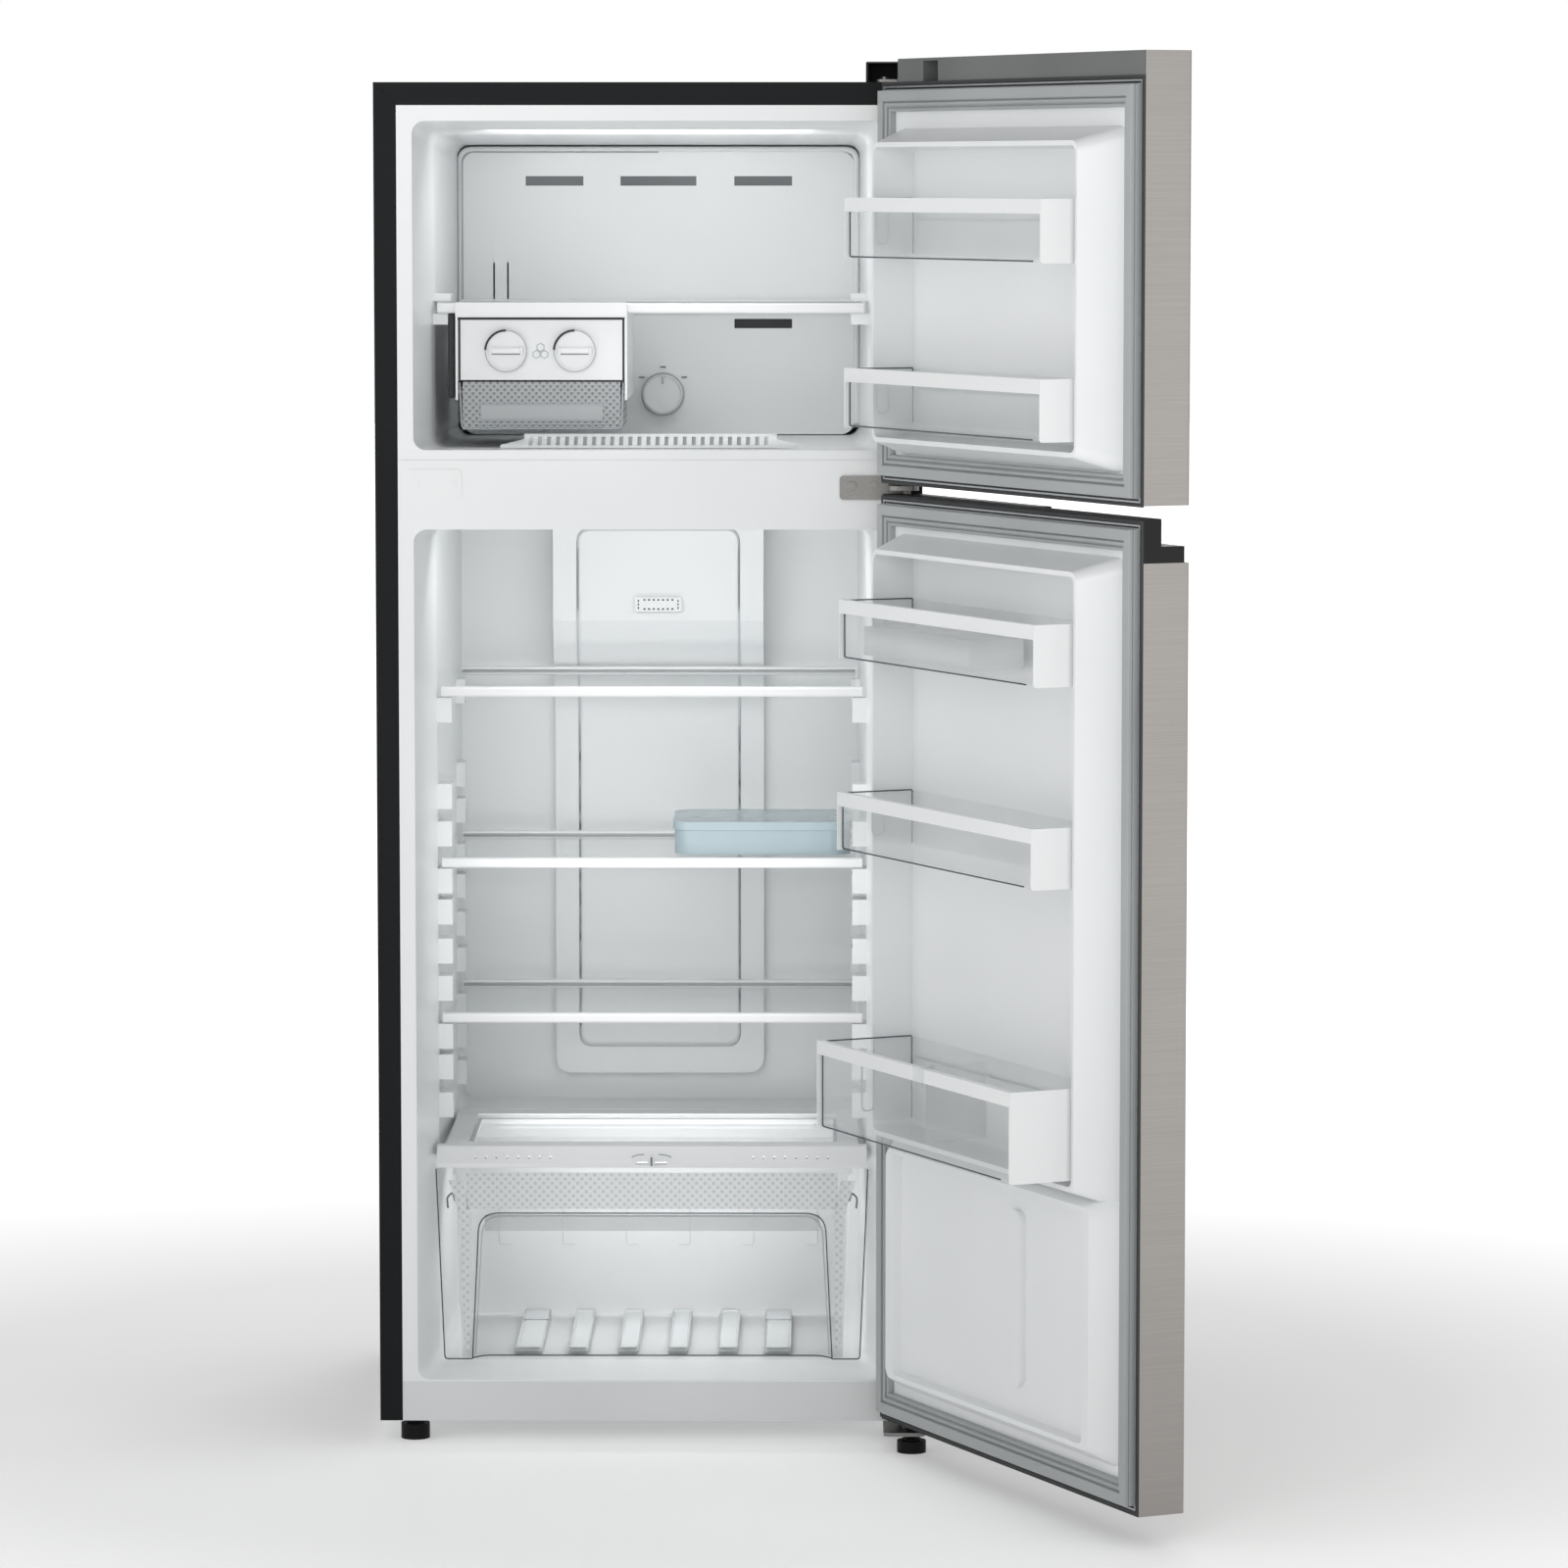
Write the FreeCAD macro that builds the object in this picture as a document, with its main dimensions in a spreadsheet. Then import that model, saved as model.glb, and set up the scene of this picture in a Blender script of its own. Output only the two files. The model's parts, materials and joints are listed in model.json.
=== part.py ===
import FreeCAD, Part
import math
import os
import re

import Sketcher

# Top freezer refrigerator, stored with both doors swung open.
# Millimetres. X runs across (doors hinged at +X), Z is up, the front faces -Y.
# The origin is on the floor, under the middle of the cabinet.
# In the helpers below the second coordinate is the depth behind the cabinet's front plane.

SIZES = (
    ("case_width", 600, "cabinet across"),
    ("case_depth", 590, "cabinet front plane to back"),
    ("case_bottom", 24, "underside of the cabinet"),
    ("case_top", 1502, "top of the cabinet"),
    ("sheet", 1.2, "steel sheet"),
    ("flange", 25, "black front flange"),
    ("plastic", 2, "moulded wall"),
    ("mouth_half", 258, "half width of the cavities at the front"),
    ("waist_half", 240, "half width where the mouth ends"),
    ("back_half", 232, "half width at the back"),
    ("mouth_depth", 110, "depth of the flared mouth"),
    ("cavity_radius", 14, "corner radius of the cavities"),
    ("freezer_top", 1460, "freezer ceiling at the front"),
    ("freezer_floor", 1100, "freezer floor"),
    ("freezer_back", 520, "freezer depth, evaporator space included"),
    ("fridge_top", 1014, "fridge ceiling at the front"),
    ("fridge_floor", 77, "fridge floor behind the lip"),
    ("fridge_back", 480, "fridge depth above the step"),
    ("step_depth", 388, "fridge depth below the step"),
    ("step_top", 318, "height of the step over the compressor"),
    ("cover_depth", 450, "depth of the evaporator cover's face"),
    ("machine_top", 288, "ceiling of the compressor space"),
    ("shelf_front", 113, "depth of the fridge shelves' front edge"),
    ("shelf_half", 235, "half width of the fridge shelves"),
    ("door_half", 298.5, "half width of the doors"),
    ("door_front", -68.2, "outer face of the doors"),
    ("door_back", -13.9, "inner rim of the doors"),
    ("seal_face", -2, "sealing face of the gaskets"),
    ("seal_outer", 290, "gasket half width, outside"),
    ("seal_inner", 265, "gasket half width, inside"),
    ("dike_half", 236, "half width of the door liners' crest"),
    ("recess_half", 231.5, "half width of the door liners' recess"),
    ("crest", 30, "how far the door liners' crest reaches in"),
    ("recess", -17, "face of the recess in the door liners"),
    ("bay_half", 228, "half width of the balconies"),
    ("axis_x", 282.5, "hinge axis across"),
    ("axis_y", -35.7, "hinge axis in front of the cabinet"),
    ("open_angle", 115.6, "doors' opening angle in degrees"),
    ("pin_radius", 4, "hinge pins"),
    ("bore_radius", 4.06, "hinge bores"),
    ("freezer_door_low", 1068, "bottom of the freezer door"),
    ("freezer_door_high", 1526, "top of the freezer door"),
    ("fridge_door_low", 33, "bottom of the fridge door"),
    ("fridge_skin_high", 1010, "top of the fridge door's steel"),
    ("grip_high", 1027, "floor of the finger grip"),
    ("fridge_door_high", 1055, "top of the fridge door"),
    ("foot_radius", 16, "levelling feet"),
    ("drawer_front", 80, "depth of the crisper drawer's front"),
    ("drawer_back", 373, "depth of the crisper drawer's back"),
    ("ice_left", -216, "ice maker frame, left side"),
    ("ice_right", -26, "ice maker frame, right side"),
    ("ice_axis", 1207, "height of the ice trays' axes"),
)

doc = FreeCAD.newDocument("Refrigerator")
sheet = doc.addObject("Spreadsheet::Sheet", "Sizes")
for row, (alias, value, note) in enumerate(SIZES, start=1):
    sheet.set(f"A{row}", note)
    sheet.set(f"B{row}", str(value))
    sheet.setAlias(f"B{row}", alias)
doc.recompute()

WORD = re.compile(r"\b([a-z][a-z_]+)\b")
TURN = {
    "X": FreeCAD.Rotation(FreeCAD.Vector(0, 1, 0), 90),
    "Y": FreeCAD.Rotation(FreeCAD.Vector(1, 0, 0), -90),
    "Z": FreeCAD.Rotation(),
}


def size(alias):
    return float(sheet.get(alias))


def expr(value):
    """A size as an expression, with the sheet's label before each of its names."""
    return WORD.sub(r"Sizes.\1", str(value))


def value_of(text):
    """The number that an expression of sheet names comes to."""
    probe.setExpression("Length", expr(f"10000 + ({text})"))
    probe.recompute()
    return probe.Length.Value - 10000


def place(obj, x, y, z):
    obj.setExpression(".Placement.Base.x", expr(x))
    obj.setExpression(".Placement.Base.y", expr(f"({y}) - case_depth/2"))
    obj.setExpression(".Placement.Base.z", expr(z))
    return obj


def box(name, x, y, z):
    obj = doc.addObject("Part::Box", name)
    for prop, (low, high) in (("Length", x), ("Width", y), ("Height", z)):
        obj.setExpression(prop, expr(f"({high}) - ({low})"))
    return place(obj, x[0], y[0], z[0])


def cylinder(name, centre, radius, length, axis="Z"):
    """A cylinder that starts at centre and runs along +axis."""
    obj = doc.addObject("Part::Cylinder", name)
    obj.setExpression("Radius", expr(radius))
    obj.setExpression("Height", expr(length))
    obj.Placement = FreeCAD.Placement(FreeCAD.Vector(), TURN[axis])
    return place(obj, *centre)


def fuse(name, *pieces):
    obj = doc.addObject("Part::MultiFuse", name)
    obj.Shapes = list(pieces)
    return obj


def cut(name, base, *tools):
    obj = doc.addObject("Part::Cut", name)
    obj.Base = base
    obj.Tool = tools[0] if len(tools) == 1 else fuse(name + "_tools", *tools)
    return obj


def common(name, first, second):
    obj = doc.addObject("Part::Common", name)
    obj.Base = first
    obj.Tool = second
    return obj


def group(name, *pieces):
    obj = doc.addObject("Part::Compound", name)
    obj.Links = list(pieces)
    return obj


def fillet(name, base, axis, radius, keep=lambda centre: True):
    """Rounds the straight edges along axis whose centre passes keep."""
    doc.recompute()
    chosen = []
    for number, edge in enumerate(base.Shape.Edges, start=1):
        if edge.Curve.TypeId != "Part::GeomLine":
            continue
        direction = edge.tangentAt(edge.FirstParameter)
        if abs(getattr(direction, axis.lower())) > 0.9 and keep(edge.CenterOfMass):
            chosen.append((number, radius, radius))
    obj = doc.addObject("Part::Fillet", name)
    obj.Base = base
    obj.Edges = chosen
    return obj


def soft_box(name, x, y, z, axis, radius):
    return fillet(name, box(name + "_block", x, y, z), axis, radius)


def section(name, x, y, z, radius):
    """A rounded rectangle across the cabinet, at depth y."""
    sketch = doc.addObject("Sketcher::SketchObject", name)
    sketch.Placement = FreeCAD.Placement(FreeCAD.Vector(), FreeCAD.Rotation(FreeCAD.Vector(1, 0, 0), 90))
    sketch.setExpression(".Placement.Base.y", expr(f"({y}) - case_depth/2"))
    x_low, x_high = value_of(x[0]), value_of(x[1])
    z_low, z_high = value_of(z[0]), value_of(z[1])
    bend = value_of(radius)
    corners = (
        (x_low + bend, z_low + bend, 180),
        (x_high - bend, z_low + bend, 270),
        (x_high - bend, z_high - bend, 0),
        (x_low + bend, z_high - bend, 90),
    )
    for cx, cz, start in corners:
        circle = Part.Circle(FreeCAD.Vector(cx, cz, 0), FreeCAD.Vector(0, 0, 1), bend)
        sketch.addGeometry(Part.ArcOfCircle(circle, math.radians(start), math.radians(start + 90)))
    for this in range(4):
        other = (this + 1) % 4
        ends = [sketch.getPoint(this, 2), sketch.getPoint(other, 1)]
        sketch.addGeometry(Part.LineSegment(*ends))
    rules = []
    for this in range(4):
        other = (this + 1) % 4
        line = 4 + this
        rules.append(Sketcher.Constraint("Tangent", this, 2, line, 1))
        rules.append(Sketcher.Constraint("Tangent", line, 2, other, 1))
        rules.append(Sketcher.Constraint("Horizontal" if this in (0, 2) else "Vertical", line))
        if this:
            rules.append(Sketcher.Constraint("Equal", 0, this))
    sketch.addConstraint(rules)
    datums = (
        (Sketcher.Constraint("Radius", 0, bend), radius),
        (Sketcher.Constraint("DistanceX", -1, 1, 7, 1, x_low), x[0]),
        (Sketcher.Constraint("DistanceX", -1, 1, 5, 1, x_high), x[1]),
        (Sketcher.Constraint("DistanceY", -1, 1, 4, 1, z_low), z[0]),
        (Sketcher.Constraint("DistanceY", -1, 1, 6, 1, z_high), z[1]),
    )
    for rule, text in datums:
        index = sketch.addConstraint(rule)
        sketch.setExpression(f"Constraints[{index}]", expr(text))
    return sketch


def loft(name, *sections):
    """Each section is (x span, depth, z span, corner radius)."""
    obj = doc.addObject("Part::Loft", name)
    obj.Sections = [section(f"{name}_{number}", *part) for number, part in enumerate(sections)]
    obj.Solid = True
    obj.Ruled = True
    return obj


def prism(name, outline, x):
    """A PartDesign pad: the outline is a list of (depth, height), extruded along X."""
    body = doc.addObject("PartDesign::Body", name)
    plane = next(item for item in body.Origin.OriginFeatures if item.Role == "YZ_Plane")
    sketch = body.newObject("Sketcher::SketchObject", name + "_outline")
    sketch.AttachmentSupport = (plane, [""])
    sketch.MapMode = "FlatFace"
    sketch.setExpression(".AttachmentOffset.Base.z", expr(x[0]))
    texts = [(f"({y}) - case_depth/2", z) for y, z in outline]
    corners = [FreeCAD.Vector(value_of(y), value_of(z), 0) for y, z in texts]
    count = len(corners)
    for this in range(count):
        sketch.addGeometry(Part.LineSegment(corners[this], corners[(this + 1) % count]))
    for this in range(count):
        sketch.addConstraint(Sketcher.Constraint("Coincident", this, 2, (this + 1) % count, 1))
    for this, (y, z) in enumerate(texts):
        for kind, text, number in (("DistanceX", y, corners[this].x), ("DistanceY", z, corners[this].y)):
            index = sketch.addConstraint(Sketcher.Constraint(kind, -1, 1, this, 1, number))
            sketch.setExpression(f"Constraints[{index}]", expr(text))
    pad = body.newObject("PartDesign::Pad", name + "_pad")
    pad.Profile = sketch
    pad.setExpression("Length", expr(f"({x[1]}) - ({x[0]})"))
    return body


def tube(name, points, radius, bend):
    """A round tube along straight runs joined by tangent arcs; points are (x, depth, z)."""
    front = size("case_depth") / 2
    path = [FreeCAD.Vector(x, y - front, z) for x, y, z in points]
    edges = []
    start = path[0]
    for before, corner, after in zip(path, path[1:], path[2:]):
        entering = (before - corner).normalize()
        leaving = (after - corner).normalize()
        half = entering.getAngle(leaving) / 2
        reach = bend / math.tan(half)
        first = corner + entering * reach
        last = corner + leaving * reach
        inward = (entering + leaving).normalize()
        middle = corner + inward * (bend / math.sin(half) - bend)
        edges.append(Part.LineSegment(start, first).toShape())
        edges.append(Part.Arc(first, middle, last).toShape())
        start = last
    edges.append(Part.LineSegment(start, path[-1]).toShape())
    ring = Part.Wire(Part.Circle(path[0], path[1] - path[0], radius).toShape())
    obj = doc.addObject("Part::Feature", name)
    obj.Shape = Part.Wire(edges).makePipeShell([ring], True, False, 2)
    return obj


def mirrored(x):
    return (f"-({x})", x)



probe = doc.addObject("Part::Box", "probe")
NODES = []


def node(name, obj):
    """Names a finished piece after its node."""
    obj.Label = name
    NODES.append(obj)
    return obj


def cavity(name, wall):
    """The freezer and fridge cavities, grown outwards by wall."""

    def mouth(z_front, z_waist):
        return [
            (mirrored(f"mouth_half + {wall}"), "0", z_front, f"cavity_radius + {wall}"),
            (mirrored(f"waist_half + {wall}"), "mouth_depth", z_waist, f"cavity_radius + {wall}"),
        ]

    def deep(z_waist, z_back, depth, half="back_half"):
        return [
            (mirrored(f"waist_half + {wall}"), "mouth_depth", z_waist, f"cavity_radius + {wall}"),
            (mirrored(f"{half} + {wall}"), f"{depth} + {wall}", z_back, f"cavity_radius + {wall}"),
        ]

    def span(low, high):
        return (f"{low} - {wall}", f"{high} + {wall}")

    freezer_waist = span("freezer_floor", "freezer_top - 14")
    fridge_waist = span("fridge_floor", "fridge_top - 2")
    step_waist = span("fridge_floor", "step_top + 40")
    upper_waist = span("step_top", "fridge_top - 2")
    return fuse(
        name,
        loft(name + "_freezer_mouth", *mouth(span("freezer_floor + 1", "freezer_top"), freezer_waist)),
        loft(name + "_freezer", *deep(freezer_waist, span("freezer_floor", "freezer_top - 26"),
                "freezer_back")),
        loft(name + "_fridge_mouth", *mouth(span("fridge_floor - 7", "fridge_top"), fridge_waist)),
        loft(name + "_fridge", *deep(upper_waist, span("step_top", "fridge_top - 6"), "fridge_back")),
        loft(name + "_step", *deep(step_waist, step_waist, "step_depth", "back_half + 2")),
    )


def make_cabinet():
    half = "case_width/2"
    shell = box("case_block", mirrored(half), ("0", "case_depth"), ("case_bottom", "case_top"))
    hollow = box("case_hollow", mirrored(f"{half} - sheet"), ("sheet", "case_depth + 1"),
                 ("case_bottom - 1", "case_top - sheet"))
    opening = box("case_opening", mirrored(f"{half} - flange"), ("-1", "sheet + 1"),
                  ("case_bottom - 1", "case_top - flange"))
    mitre = box("case_mitre", ("0", "0.6"), ("-1", "sheet/2"), ("0", "flange*1.2"))
    mitre.Placement.Rotation = FreeCAD.Rotation(FreeCAD.Vector(0, 1, 0), -45)
    place(mitre, f"-{half} + flange + 1.2", "-1", "case_top - flange - 1.6")
    node("outer_case", cut("case_cut", shell, hollow, opening, mitre))

    inside = mirrored(f"{half} - sheet")
    node("rear_panel", group("rear_panel_sheet", box("rear_sheet", inside, ("case_depth - 1", "case_depth"),
                                                     ("machine_top + 2", "case_top - sheet"))))
    lip = box("base_lip", mirrored(f"{half} - flange"), ("0", "sheet"), ("case_bottom", "fridge_floor - 9"))
    floor = box("base_floor", inside, ("sheet", "step_depth + 4"), ("case_bottom", "case_bottom + 2"))
    riser = box("base_riser", inside, ("step_depth + 2", "step_depth + 4"),
            ("case_bottom", "machine_top + 2"))
    ceiling = box("base_ceiling", inside, ("step_depth + 2", "case_depth"),
            ("machine_top", "machine_top + 2"))
    holes = [cylinder(f"base_hole_{side}", (x, y, "case_bottom - 1"), "bore_radius", "5")
             for side, x, y in (("left", "-262.6", "27"),)]
    node("base_plate", cut("base_cut", fuse("base_sheets", lip, floor, riser, ceiling), *holes))

    envelope = cavity("envelope", "plastic")
    frame = box("liner_frame", mirrored(f"{half} - flange"), ("0", "plastic"),
                ("fridge_floor - 9", "case_top - flange"))
    block = box("foam_block", inside, ("sheet", "case_depth - 1"), ("case_bottom + 2", "case_top - sheet"))
    machine = box("foam_machine", mirrored(half), ("step_depth + 2", "case_depth"), ("0", "machine_top + 2"))
    low_front = box("foam_front", mirrored(f"{half} - flange"), ("0", "sheet"), ("0", "fridge_floor - 9"))
    well = cylinder("foam_well", ("-262.6", "27", "case_bottom"), "8", "18")
    node("insulation_foam", cut("foam_cut", block, envelope, frame, machine, low_front, well))

    ribs = []
    for number, top in enumerate((820, 723, 681, 628, 593, 549, 507, 453, 418, 375)):
        for side in (-1, 1):
            for depth, reach in ((115, 40), (385, 35)):
                across = (-246, -224) if side < 0 else (224, 246)
                name = f"rib_{number}_{'left' if side < 0 else 'right'}_{depth}"
                ribs.append(box(name, across, (depth, depth + reach), (top - 28, top)))
    for side, across in (("left", (-250, -222)), ("right", (222, 250))):
        ribs.append(box(f"freezer_lug_{side}", across, (100, 420), (1236, 1248)))
        ribs.append(box(f"freezer_stop_{side}", across, (104, 150), (1262, 1270)))
        ribs.append(box(f"crisper_ledge_{side}", across, (130, 370), (299, 308.6)))
    walls = fuse("liner_walls", envelope, frame)
    hollow = cavity("hollow", "0")
    opened = cut("liner_opened", walls, hollow)
    inner_ribs = common("liner_ribs", fuse("rib_blocks", *ribs), hollow)
    node("inner_liner", fuse("liner_fused", opened, inner_ribs))

    cover = box("mullion_sheet", mirrored("272"), ("-1.2", "0"), (1028, 1090))
    plate = soft_box("mullion_plate", (-266, -205), (-2, 0), (1046, 1080), "Y", 6)
    plugs = [cylinder(f"mullion_plug_{x}", (x, -2.6, 1063), "4", "2", "Y") for x in (-256, -215)]
    node("mullion_cover", fuse("mullion_fused", cover, plate, *plugs))


def duct_shape(name, deeper, half, low, high):
    """The duct's side profile: flat below, then sweeping forward to the ceiling."""
    sweep, nose = 787, 861
    outline = [("fridge_back", low), (465 + deeper, low), (465 + deeper, sweep), (418 + deeper, nose),
               (410 + deeper, nose + 25), (410 + deeper, high), ("fridge_back", high)]
    shape = prism(f"{name}_profile", outline, mirrored(str(half)))
    shape = fillet(f"{name}_sweep", shape, "X", 55 + deeper, lambda c: abs(c.z - sweep) < 1)
    return fillet(f"{name}_nose", shape, "X", 30 - deeper, lambda c: abs(c.z - nose) < 1)


def make_cold_side():
    face = "cover_depth"
    pan = soft_box("cover_pan", mirrored("227"), (face, f"{face} + 16"), ("freezer_floor + 1", 1428), "Y", 15)
    hollow = soft_box("cover_hollow", mirrored("224"), (f"{face} + 3", f"{face} + 17"),
                      ("freezer_floor + 4", 1425), "Y", 12)
    vents = [box(f"vent_{x}", (x, x + wide), (f"{face} - 1", f"{face} + 5"), (low, low + 11))
             for x, wide, low in ((-154, 67, 1389), (-44, 88, 1389), (88, 67, 1389), (88, 67, 1224))]
    guides = [box(f"guide_slot_{x}", (x, x + 2), (f"{face} - 1", f"{face} + 5"),
            (1258, 1300)) for x in (-192, -176)]
    knob_hole = cylinder("knob_hole", (5, f"{face} - 1", 1148), "bore_radius", "6", "Y")
    panel = cut("cover_cut", pan, hollow, *vents, *guides, knob_hole)
    label = soft_box("cover_label", mirrored("45"), (f"{face} - 0.6", face), (1266, 1276), "Y", 3)
    plugs = [cylinder(f"cover_plug_{x}", (x, f"{face} - 1", 1363), "5", "1", "Y") for x in (-198, 198)]
    node("evaporator_cover", fuse("cover_fused", panel, label, *plugs))

    ramp = loft("grille_ramp", (mirrored("165"), "50", ("freezer_floor + 1.2", "freezer_floor + 5"), "1"),
                (mirrored("140"), "78", ("freezer_floor + 1.2", "freezer_floor + 16"), "1"))
    body = box("grille_body", mirrored("140"), (50, 78), ("freezer_floor + 1.2", "freezer_floor + 16"))
    slots = [box(f"grille_slot_{number}", (x, x + 4.4), (49, 75), ("freezer_floor + 4", "freezer_floor + 13"))
             for number, x in enumerate(range(-134, 132, 10))]
    node("return_air_grille", cut("grille_cut", fuse("grille_fused", ramp, body), *slots))

    fins = [box(f"evaporator_fin_{x}", (x, x + 1), (462, 508), (1150, 1322)) for x in range(-143, 150, 22)]
    passes = []
    for turn, z in enumerate((1165, 1200, 1235, 1270, 1305)):
        passes += [(163 if turn % 2 == 0 else -163, 486, z), (163 if turn % 2 == 0 else -163, 486, z + 35)]
    coil = tube("evaporator_coil", [(-150, 486, 1165)] + passes[:-1], 4, 12)
    heater = tube("defrost_heater", [(-140, 470, 1138), (140, 470, 1138), (140, 500, 1138),
            (-140, 500, 1138)], 4, 10)
    node("evaporator", group("evaporator_group", fuse("evaporator_fused", coil, *fins), heater))

    motor = cylinder("motor_can", (0, 476, 1376), "22", "24", "Y")
    shaft = cylinder("motor_shaft", (0, 455, 1376), "1.5", "22", "Y")
    bar = box("motor_bar", mirrored("58"), (497, 503), (1370, 1382))
    posts = [cylinder(f"motor_post_{x}", (x, 453, 1376), "4", "46", "Y") for x in (-52, 52)]
    node("fan_motor", fuse("fan_motor_fused", motor, shaft, bar, *posts))
    blades = []
    for turn in range(5):
        blade = box(f"fan_blade_{turn}", (0, 1.5), (0, 8), (7, 38))
        blade.Placement.Rotation = FreeCAD.Rotation(FreeCAD.Vector(0, 1, 0), 72 * turn)
        corner = blade.Placement.Rotation.multVec(FreeCAD.Vector(0, 0, 7))
        place(blade, corner.x, 458, 1376 + corner.z)
        blades.append(blade)
    hub = cylinder("fan_hub", (0, 457.5, 1376), "10", "10", "Y")
    bore = cylinder("fan_bore", (0, 450, 1376), "1.56", "30", "Y")
    node("evaporator_fan", cut("fan_cut", fuse("fan_fused", hub, *blades), bore))

    duct = duct_shape("duct", 0, 122, 350, "fridge_top - 8")
    duct = fillet("duct_corners", duct, "Y", 18, lambda c: abs(c.z - 350) < 1)
    panel = duct_shape("duct_panel", 3, 100, 370, "fridge_top - 10")
    mask = soft_box("duct_mask", mirrored("91"), (300, 479), (385, "fridge_top - 24"), "Y", 14)
    ledge = cut("duct_ledge", mask, panel)
    node("air_duct_cover", cut("duct_cut", duct, ledge))
    window = soft_box("sensor_body", mirrored("27"), (405.5, 413), (897, 914), "Y", 3)
    node("sensor_cover", group("sensor_group", window))


def make_shelves():
    panes = []
    trims = []
    for number, top in enumerate((832, 640, 465)):
        panes.append(box(f"pane_{number}", mirrored("shelf_half - 7"), ("shelf_front + 6", 428),
                (top - 7, top - 3)))
        front = soft_box(f"trim_front_{number}", mirrored("shelf_half"), ("shelf_front", "shelf_front + 14"),
                         (top - 11, top), "X", 3)
        seat = box(f"trim_seat_{number}", mirrored("shelf_half - 7"), ("shelf_front + 6", 430),
                (top - 7, top - 3))
        rear = soft_box(f"trim_rear_{number}", mirrored("shelf_half - 6"), (422, 434), (top - 10, top),
                "X", 3)
        trims.append(cut(f"trim_cut_{number}", fuse(f"trim_{number}", front, rear), seat))
    panes.append(box("pane_freezer", mirrored("228"), (96, 432), (1251.5, 1255.5)))
    panes.append(box("pane_crisper", mirrored("207"), (114, 334), (314, 318)))
    node("glass_shelves", group("panes", *panes))
    front = soft_box("freezer_trim_front", mirrored("236"), (90, 102), (1248.8, 1260), "X", 3)
    rear = soft_box("freezer_trim_rear", mirrored("229"), (428, 438), (1248.8, 1258), "X", 3)
    seat = box("freezer_trim_seat", mirrored("228"), (96, 433), (1251.5, 1255.5))
    trims.append(cut("freezer_trim_cut", fuse("freezer_trim", front, rear), seat))
    node("shelf_trims", group("trims", *trims))

    top = box("crisper_top", mirrored("231"), (78, 372), (309, 320))
    nose = prism("crisper_nose", [(62, 298), (62, 303), (78, 320), (98, 320), (98, 309), (76, 309),
            (72, 298)],
                 mirrored("240"))
    window = box("crisper_window", mirrored("203"), (118, 330), (305, 325))
    seat = box("crisper_seat", mirrored("207"), (114, 334), (314, 321))
    slot = box("slider_slot", mirrored("17"), (60, 80), (301.4, 304.6))
    dots = [cylinder(f"crisper_dot_{x}", (x, 60, 309), "1.6", "40", "Y")
            for side in (-1, 1) for x in range(side * 155 - 42, side * 155 + 43, 12)]
    node("crisper_cover_frame", cut("crisper_cut", fuse("crisper_fused", top, nose), window, seat, slot,
            *dots))
    knob = box("slider_knob", mirrored("2.5"), (56, 61.6), (299, 313))
    stem = box("slider_stem", mirrored("3.5"), (61, 80), (301.8, 304.2))
    node("humidity_slider", fuse("slider_fused", knob, stem))

    lower = soft_box("storage_body", (24, 222), (150, 300), (640.2, 668), "Z", 24)
    hollow = soft_box("storage_hollow", (26, 220), (152, 298), (642.2, 670), "Z", 22)
    lid = soft_box("storage_lid", (22, 224), (148, 302), (668, 677), "Z", 25)
    node("storage_box", fuse("storage_fused", cut("storage_cut", lower, hollow), lid))


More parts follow.
